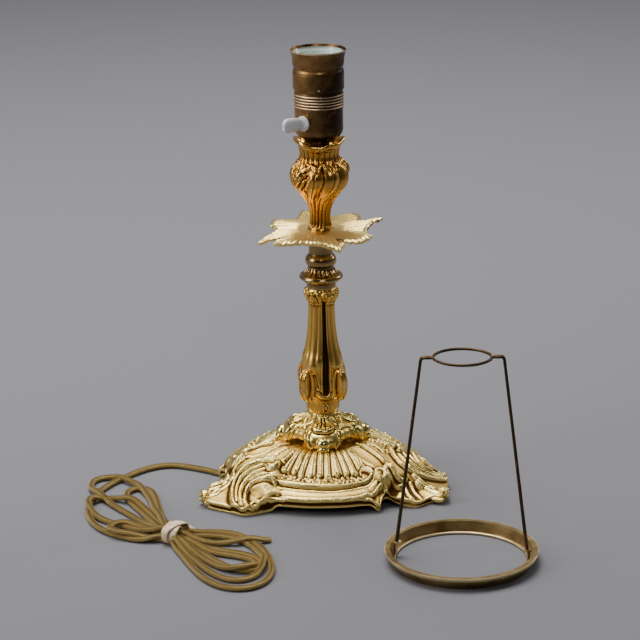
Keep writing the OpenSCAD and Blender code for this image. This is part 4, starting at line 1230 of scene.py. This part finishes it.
for (eye_turn, eye_r), long, short, lean in EYES:
    at = np.array([eye_r * math.sin(math.radians(eye_turn)), -eye_r * math.cos(math.radians(eye_turn))])
    ax = math.radians(lean)
    off = middle[:, :2] - at
    u = off[:, 0] * math.cos(ax) + off[:, 1] * math.sin(ax)
    v = -off[:, 0] * math.sin(ax) + off[:, 1] * math.cos(ax)
    kept &= (u / long) ** 2 + (v / short) ** 2 > 1
leaf_pan = mesh_piece("leaf_pan", sheet, sheet_faces[kept])
bpy.ops.object.select_all(action="DESELECT")
leaf_pan.select_set(True)
bpy.context.view_layer.objects.active = leaf_pan
if leaf_pan.data.polygons[0].normal.z < 0:
    leaf_pan.data.flip_normals()
wall = leaf_pan.modifiers.new("wall", "SOLIDIFY")
wall.thickness = PAN_WALL * MM * 0.92
wall.offset = -1.0
bpy.ops.object.modifier_apply(modifier="wall")
bpy.ops.object.shade_smooth_by_angle(angle=math.radians(50))
weather(leaf_pan, 0.6, 6)
matt_gilt = gilt("matt_gilt", (1.0, 0.77, 0.28), (0.86, 0.54, 0.13), (0.10, 0.04, 0.008), 0.34, 0.2)
leaf_pan.data.materials.append(matt_gilt.material)
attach(leaf_pan, "lamp")
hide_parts("drip_pan")

# ---- the vase cup ----
# A gilt casting that carries the lampholder: a reeded stem, twisted lobes round its
# belly with a leaf laid over them at each side, a fluted neck and a wavy leaf rim.
VASE_COLUMNS = 360
VASE_LINE = [
    (10.4, 215.6), (10.0, 216.4), (9.2, 218.2), (8.3, 220.5), (7.9, 223.5), (7.9, 227.5), (8.4, 231.5),
    (9.7, 235.5), (11.8, 239.8), (15.2, 244.8), (19.3, 249.8), (22.0, 254.4), (22.9, 259),
    (22.2, 263.6), (19.8, 268), (17.0, 271.6), (15.5, 274.8), (15.3, 278), (16.2, 281.6),
    (17.7, 284.6), (19.2, 286.6),
]
VASE_RIM = [
    (-180, 0.2), (-135, -1.2), (-100, 1.4), (-70, 1.2), (-45, -0.4), (-25, -2.2), (-8, -3.2), (2, -3.0),
    (12, -1.6), (30, -1.0), (50, -0.8), (66, 0.6), (82, 1.8), (110, 0.4), (135, -1.4), (160, 0.6),
    (180, 0.2),
]
VASE_CHART_R = 18.0
GADROONS = 9
VASE_LEAVES = [
    (2.0, 1.9, [(-58, 252), (-52, 258), (-42, 264), (-30, 268.5), (-17, 270), (-10, 267), (-14, 263.5)]),
    (1.3, 1.5, [(-56, 255), (-44, 259), (-34, 264), (-24, 266)]),
    (1.3, 1.6, [(-52, 251), (-40, 255), (-30, 260), (-20, 263.5)]),
    (1.3, 1.5, [(-46, 249), (-36, 252), (-26, 257.5), (-19, 260.5)]),
    (1.6, 1.8, [(-66, 258), (-74, 265), (-70, 270), (-62, 271.5), (-58, 268)]),
]
VASE_RIM_LEAVES = [
    (1.7, 1.3, [(-6, 284.4), (8, 286.2), (24, 287.6), (40, 286.6), (52, 287.4), (66, 289.8)]),
    (1.2, 0.9, [(-14, 284.6), (-2, 287.0), (10, 288.4)]),
    (1.3, 0.9, [(-80, 289.6), (-60, 289), (-36, 286.6), (-14, 285)]),
    (1.0, 0.8, [(14, 284.4), (30, 283.6), (46, 285)]),
]
vase_line = even_line(VASE_LINE, 0.55)
vase_turn = np.arange(VASE_COLUMNS) * 360.0 / VASE_COLUMNS - 180
vase_z = vase_line[:, 1]
twist = 30.0 * ramp(vase_z, 226, 262) - 6 * ramp(vase_z, 262, 275)
turned_to = vase_turn[:, None] - twist[None]
lobe_wave = np.abs(np.cos(np.radians(turned_to * GADROONS / 2))) ** 0.75
belly = (ramp(vase_z, 237, 248) * (1 - ramp(vase_z, 266, 272)))[None]
stem_reeds = (ramp(vase_z, 217, 220) * (1 - ramp(vase_z, 240, 250)))[None]
neck_reeds = (ramp(vase_z, 268, 273) * (1 - ramp(vase_z, 281, 285)))[None]
reeds = np.abs(np.cos(np.radians(turned_to * GADROONS)))
fine = np.abs(np.cos(np.radians(turned_to * 11)))
lift = belly * (3.4 * lobe_wave - 2.2) + stem_reeds * (1.3 * reeds - 0.8) + neck_reeds * (0.9 * fine - 0.4)
lift += belly * -0.8 * (1 - ramp(np.abs(np.sin(np.radians(turned_to * GADROONS / 2))), 0.0, 0.22))
spots = np.column_stack([
    np.repeat(np.radians(vase_turn) * VASE_CHART_R, len(vase_z)), np.tile(vase_z, VASE_COLUMNS)])


def vase_copies(places):
    """A trail on the vase's chart with its copy on the other half."""
    return turned_copies(places, 180, VASE_CHART_R)


leaves = heaped(spots, VASE_LEAVES, vase_copies, (0.2, 0.2))
# A small hook closes the head of each gadroon.
for k in range(GADROONS):
    a = -180 + k * 360 / GADROONS + 26
    hook = [(a - 7, 265), (a - 5, 269.6), (a + 1, 271.4), (a + 6, 269), (a + 4, 266.4)]
    leaves = np.maximum(leaves, raised(
        spots, turned_copies(hook, 360, VASE_CHART_R), 1.2, 1.3, (0.2, 0.2)))
rim_leaves = heaped(spots, VASE_RIM_LEAVES, vase_copies, (0.3, 0.3))
both = lift + np.maximum(leaves, rim_leaves).reshape(lift.shape)
both *= (ramp(vase_z, 216.0, 217.4))[None]
reach, height = pushed(
    np.repeat(vase_line[None, :, 0], VASE_COLUMNS, 0),
    np.repeat(vase_line[None, :, 1], VASE_COLUMNS, 0), both)
rim_z = read_table(VASE_RIM, vase_turn, 5.0)[:, None]
height = height + rim_z * ramp(vase_line[None, :, 1], 277, 286.6)
outline = [(reach[:, k], height[:, k]) for k in range(len(vase_z))]
rim_wave = 0.5 * np.cos(np.radians(vase_turn * 8 + 40))
for r, z in ((20.3, 287.8), (20.6, 289.0), (20.2, 290.0), (19.2, 290.4), (18.2, 290.0), (17.4, 288.6)):
    outline.append((r + 0.4 * rim_wave, z - 0.9 + rim_z[:, 0] + 0.5 * rim_wave))
outline += level(
    VASE_COLUMNS, (16.0, 285.6), (14.4, 282.0), (13.4, 277.0), (5.4, 277.0), (5.4, 216.6), (9.0, 215.6))
vase_points, vase_faces = shell_around(outline, 1, -180)
vase_casting = mesh_piece("vase_casting", vase_points, vase_faces)
weather(vase_casting, 0.8)
# A darker, more orange copy of the gilt. This is painted shade and painted gold inter-reflection on the
# vase.
shaded_orange_gilt = gilt("shaded_orange_gilt", (0.88, 0.48, 0.10), (0.42, 0.16, 0.02), (0.025, 0.008, 0.002), 0.24, 0.10)
vase_casting.data.materials.append(shaded_orange_gilt.material)
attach(vase_casting, "lamp")
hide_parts("vase_cup")

# ---- the lampholder's brass shells ----
# Three spun brass shells, lacquered long ago and now brown, with worn bright ridges:
# the cap, the ring with the shade's thread, and the sleeve with its flared mouth.
THREAD_R = 20.0
FLARE_R = 22.1


def old_brass(
    name, bright_from=None, dark=(0.055, 0.034, 0.016), warm=(0.46, 0.25, 0.085), rough=0.34
):
    """Brown lacquered brass with warmer clouds, painted light that warms its left side and darkens its
    right, specks, and bright wear past a radius.
    """
    finish = Finish(name, metallic=1.0)
    x, y = finish.axes()[:2]
    cloud = finish.noise(34.0, 5.0, rough=0.62)
    stain = finish.noise(130.0, 4.0)
    speck = finish.noise(760.0, 2.0)
    # The x term is painted light: lighter and warmer to the left, darker to the right.
    clouds_and_left_light = finish.span(cloud - x * 9.0, 0.36, 0.72)
    colour = finish.mix(clouds_and_left_light, rgba(*dark), rgba(*warm))
    colour = finish.mix(finish.span(stain, 0.60, 0.74, 0.0, 0.55), colour, rgba(0.36, 0.16, 0.06))
    colour = finish.mix(finish.span(speck, 0.70, 0.78, 0.0, 0.5), colour, rgba(0.32, 0.26, 0.16))
    if bright_from:
        away = (x * x + y * y) ** 0.5
        worn = finish.span(away + (stain - 0.5) * 0.0006, bright_from * MM, (bright_from + 0.3) * MM)
        colour = finish.mix(worn, colour, rgba(0.88, 0.64, 0.42))
    finish.feed(
        base_color=colour,
        roughness=finish.span(stain, 0.3, 0.7, rough - 0.1, rough + 0.16),
        normal=finish.bump(speck + cloud, 0.12, 0.0004),
    )
    return finish


def dress(finish, *names):
    """Gives CAD nodes a finish by their material slots."""
    for name in names:
        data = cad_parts[name].data
        if not data.materials:
            data.materials.append(finish.material)
        for slot in range(len(data.materials)):
            data.materials[slot] = finish.material


dress(old_brass("cap_brass"), "holder_cap")
dress(old_brass("thread_brass", THREAD_R - 0.42), "holder_thread_ring")
dress(old_brass("sleeve_brass", FLARE_R), "holder_sleeve")

# ---- the lampholder's porcelain ----
# The switch's wing-shaped key is white glazed porcelain on a round foot, and the pale
# green liner is the glazed ring inside the mouth.
KEY_BEARING = 38.0
KEY_Z = 305.0
KEY_LINE = [
    # distance from the lamp's axis, half height, half thickness, height above KEY_Z
    (19.6, 5.4, 5.4, 0), (20.0, 6.0, 6.0, 0), (21.2, 6.0, 6.0, 0), (21.7, 5.2, 5.2, 0),
    (22.1, 4.3, 3.4, 0.1), (24.0, 4.5, 2.9, 0.3), (27.0, 5.1, 2.8, 0.6), (31.0, 5.6, 2.7, 1.0),
    (35.0, 5.8, 2.6, 1.4), (39.0, 5.8, 2.5, 1.8), (42.0, 5.4, 2.3, 2.1), (43.8, 4.4, 1.9, 2.3),
    (44.6, 2.9, 1.3, 2.4), (44.85, 1.3, 0.6, 2.4),
]
key_table = flowing(KEY_LINE, 0.45)
key_dir = outward(-KEY_BEARING)[0]
key_path = key_table[:, :1] * key_dir + KEY_Z * UP + key_table[:, 3:4] * UP
key_points, key_faces = sweep(
    key_path, np.maximum(key_table[:, 2], 0.2), np.maximum(key_table[:, 1], 0.3), 40)
key_wing = mesh_piece("key_wing", key_points, key_faces)
porcelain = Finish(
    "white_porcelain", roughness=0.12, coat_weight=0.6, coat_roughness=0.04, specular_ior_level=0.6)
porcelain_cloud = porcelain.noise(60.0, 3.0)
porcelain.feed(
    base_color=porcelain.mix(
        porcelain.span(porcelain_cloud, 0.3, 0.7), rgba(0.95, 0.945, 0.93), rgba(0.99, 0.99, 0.985)),
    normal=porcelain.bump(porcelain.noise(45.0, 1.0), 0.06, 0.001),
)
key_wing.data.materials.append(porcelain.material)
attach(key_wing, "switch")
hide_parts("switch_key")
dress(porcelain, "switch_block", "contact_block")

mint = Finish("mint_porcelain", roughness=0.22, coat_weight=0.4, coat_roughness=0.08)
mint_stain = mint.noise(110.0, 4.0)
mint_z = mint.axes()[2]
# The liner's top edge is painted dark. This is painted shadow under the sleeve's rim.
RIM_SHADOW_ENDS = (0.3572, 0.3592)
mint_face = mint.mix(mint.span(mint_stain, 0.35, 0.7), rgba(0.50, 0.66, 0.58), rgba(0.72, 0.82, 0.76))
mint.feed(
    base_color=mint.mix(
        mint.span(mint_z + (mint_stain - 0.5) * 0.004, *RIM_SHADOW_ENDS), mint_face, rgba(0.24, 0.25, 0.20)),
    normal=mint.bump(mint_stain, 0.1, 0.0005),
)
dress(mint, "insulating_ring")

# ---- the metal parts inside ----
# Plated steel and plain brass parts that clamp the stack and carry the current.


def plain_metal(name, light, shade, rough):
    """Clean metal with faint clouds and fine brush marks."""
    finish = Finish(name, metallic=1.0)
    cloud = finish.noise(90.0, 3.0)
    fine = finish.noise(500.0, 2.0)
    finish.feed(
        base_color=finish.mix(finish.span(cloud, 0.3, 0.7), rgba(*shade), rgba(*light)),
        roughness=finish.span(fine, 0.3, 0.7, rough - 0.06, rough + 0.12),
        normal=finish.bump(fine, 0.1, 0.0003),
    )
    return finish


steel = plain_metal("plated_steel", (0.55, 0.54, 0.51), (0.36, 0.34, 0.31), 0.34)
dress(steel, "base_washer", "base_nut", "stem_tube", "switch_spindle", "contact_spring", "grub_screw")
pin_metal = plain_metal("bright_pin", (0.95, 0.94, 0.90), (0.86, 0.84, 0.80), 0.18)
dress(pin_metal, "bayonet_pin")
contact_brass = plain_metal("contact_brass", (0.83, 0.62, 0.30), (0.60, 0.40, 0.17), 0.30)
dress(
    contact_brass, "switch_rotor", "block_screws", "bulb_thread_shell", "centre_contact", "side_contact",
    "terminal_screws")
bush_rubber = Finish("bush_rubber", roughness=0.6)
rubber_dust = bush_rubber.noise(300.0, 3.0)
bush_rubber.feed(
    base_color=bush_rubber.mix(rubber_dust, rgba(0.020, 0.017, 0.014), rgba(0.050, 0.044, 0.038)),
    normal=bush_rubber.bump(rubber_dust, 0.2, 0.0003),
)
dress(bush_rubber, "cord_bush")
held_silk = Finish("held_braid", roughness=0.5)
held_weave = held_silk.node("ShaderNodeTexVoronoi", {}, {"Vector": held_silk.place(), "Scale": 900.0})
held_silk.feed(
    base_color=held_silk.mix(held_weave, rgba(0.62, 0.41, 0.13), rgba(0.22, 0.12, 0.03)),
    normal=held_silk.bump(held_weave, 0.5, 0.0004),
)
dress(held_silk, "inner_cord")

# ---- the shade carrier ----
# Two bronzed brass wires, soldered side by side, run up one leg, part round an eye
# that drops over the lampholder, and run down the other leg to a spun ring.
CARRIER_AT = (103.5, -171.0)
CARRIER_TURN = 10.5
EYE_Z = 163.0
EYE_HALF_LONG, EYE_HALF_WIDE = 21.0, 17.0
WIRE_R = 1.1
FOOT_Z = 12.6
FOOT_R = 49.6
# Where the ring's lip and its inner edge are worn bright, in metres from its middle.
LIP_WEAR = (0.0575, 0.0583)
EDGE_WEAR = (0.0501, 0.0510)


# How a leg's top turns into the eye: places beside the eye, from the leg inwards.
SHOULDER = [(31.2, -4.0), (30.8, -1.6), (29.8, -0.3), (28.0, 0.0), (25.0, 0.0)]


def carrier_wire(side):
    """One wire's route: up a leg, round half of the eye, and down the other leg."""
    half, sag = EYE_HALF_LONG + WIRE_R, EYE_HALF_WIDE + WIRE_R
    big = (half * half + sag * sag) / (2 * sag)
    opening = math.asin(half / big)
    y = side * WIRE_R
    turn = math.radians(CARRIER_TURN)
    eye = []
    for k in range(-8, 9):
        share = k * opening / 8
        eye.append((big * math.sin(share), side * (big * math.cos(share) - big + sag + WIRE_R), EYE_Z))
    halves = []
    for s in (-1, 1):
        foot = np.array([
            s * FOOT_R * math.cos(turn) - y * math.sin(turn),
            -s * FOOT_R * math.sin(turn) + y * math.cos(turn), FOOT_Z])
        shoulder = [(s * x, y, EYE_Z + drop) for x, drop in SHOULDER]
        leg = [tuple(foot + (np.array(shoulder[0]) - foot) * t) for t in (0, 0.3, 0.6, 0.9)]
        halves.append(leg + shoulder)
    return halves[0] + eye + halves[1][::-1]


bronze = old_brass("bronzed_wire", None, (0.075, 0.048, 0.024), (0.36, 0.24, 0.11), 0.40)
for name, side in (("carrier_wire_front", -1), ("carrier_wire_back", 1)):
    route = flowing(carrier_wire(side), 1.2) + np.array([*CARRIER_AT, 0.0])
    wire_points, wire_faces = sweep(route, WIRE_R, WIRE_R, 14, (0.02, 1.0, 0.05))
    wire = mesh_piece("smooth_" + name, wire_points, wire_faces)
    wire.data.materials.append(bronze.material)
    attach(wire, "carrier")
    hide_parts(name)


def ring_brass(name):
    """The ring's dull golden brown, worn bright at its lip and its inner edge."""
    finish = Finish(name, metallic=1.0)
    middle = (-CARRIER_AT[0] * MM, -CARRIER_AT[1] * MM, 0)
    shifted = finish.node("ShaderNodeMapping", {}, {"Vector": finish.place(), "Location": middle})
    x, y = finish.axes(shifted)[:2]
    away = (x * x + y * y) ** 0.5
    cloud, stain, fine = finish.noise(40.0, 5.0), finish.noise(150.0, 4.0), finish.noise(900.0, 2.0)
    colour = finish.mix(finish.span(cloud, 0.35, 0.7), rgba(0.21, 0.13, 0.045), rgba(0.50, 0.35, 0.15))
    lip = finish.span(away + (stain - 0.5) * 0.0008, *LIP_WEAR)
    inner = 1 - finish.span(away + (stain - 0.5) * 0.0006, *EDGE_WEAR)
    colour = finish.mix((lip + inner).at_most(1.0) * 0.85, colour, rgba(0.78, 0.62, 0.34))
    finish.feed(
        base_color=colour,
        roughness=finish.span(stain, 0.3, 0.7, 0.34, 0.52),
        normal=finish.bump(fine + cloud, 0.15, 0.0004),
    )
    return finish


dress(ring_brass("ring_brass"), "carrier_ring", "carrier_washers", "carrier_rivets")
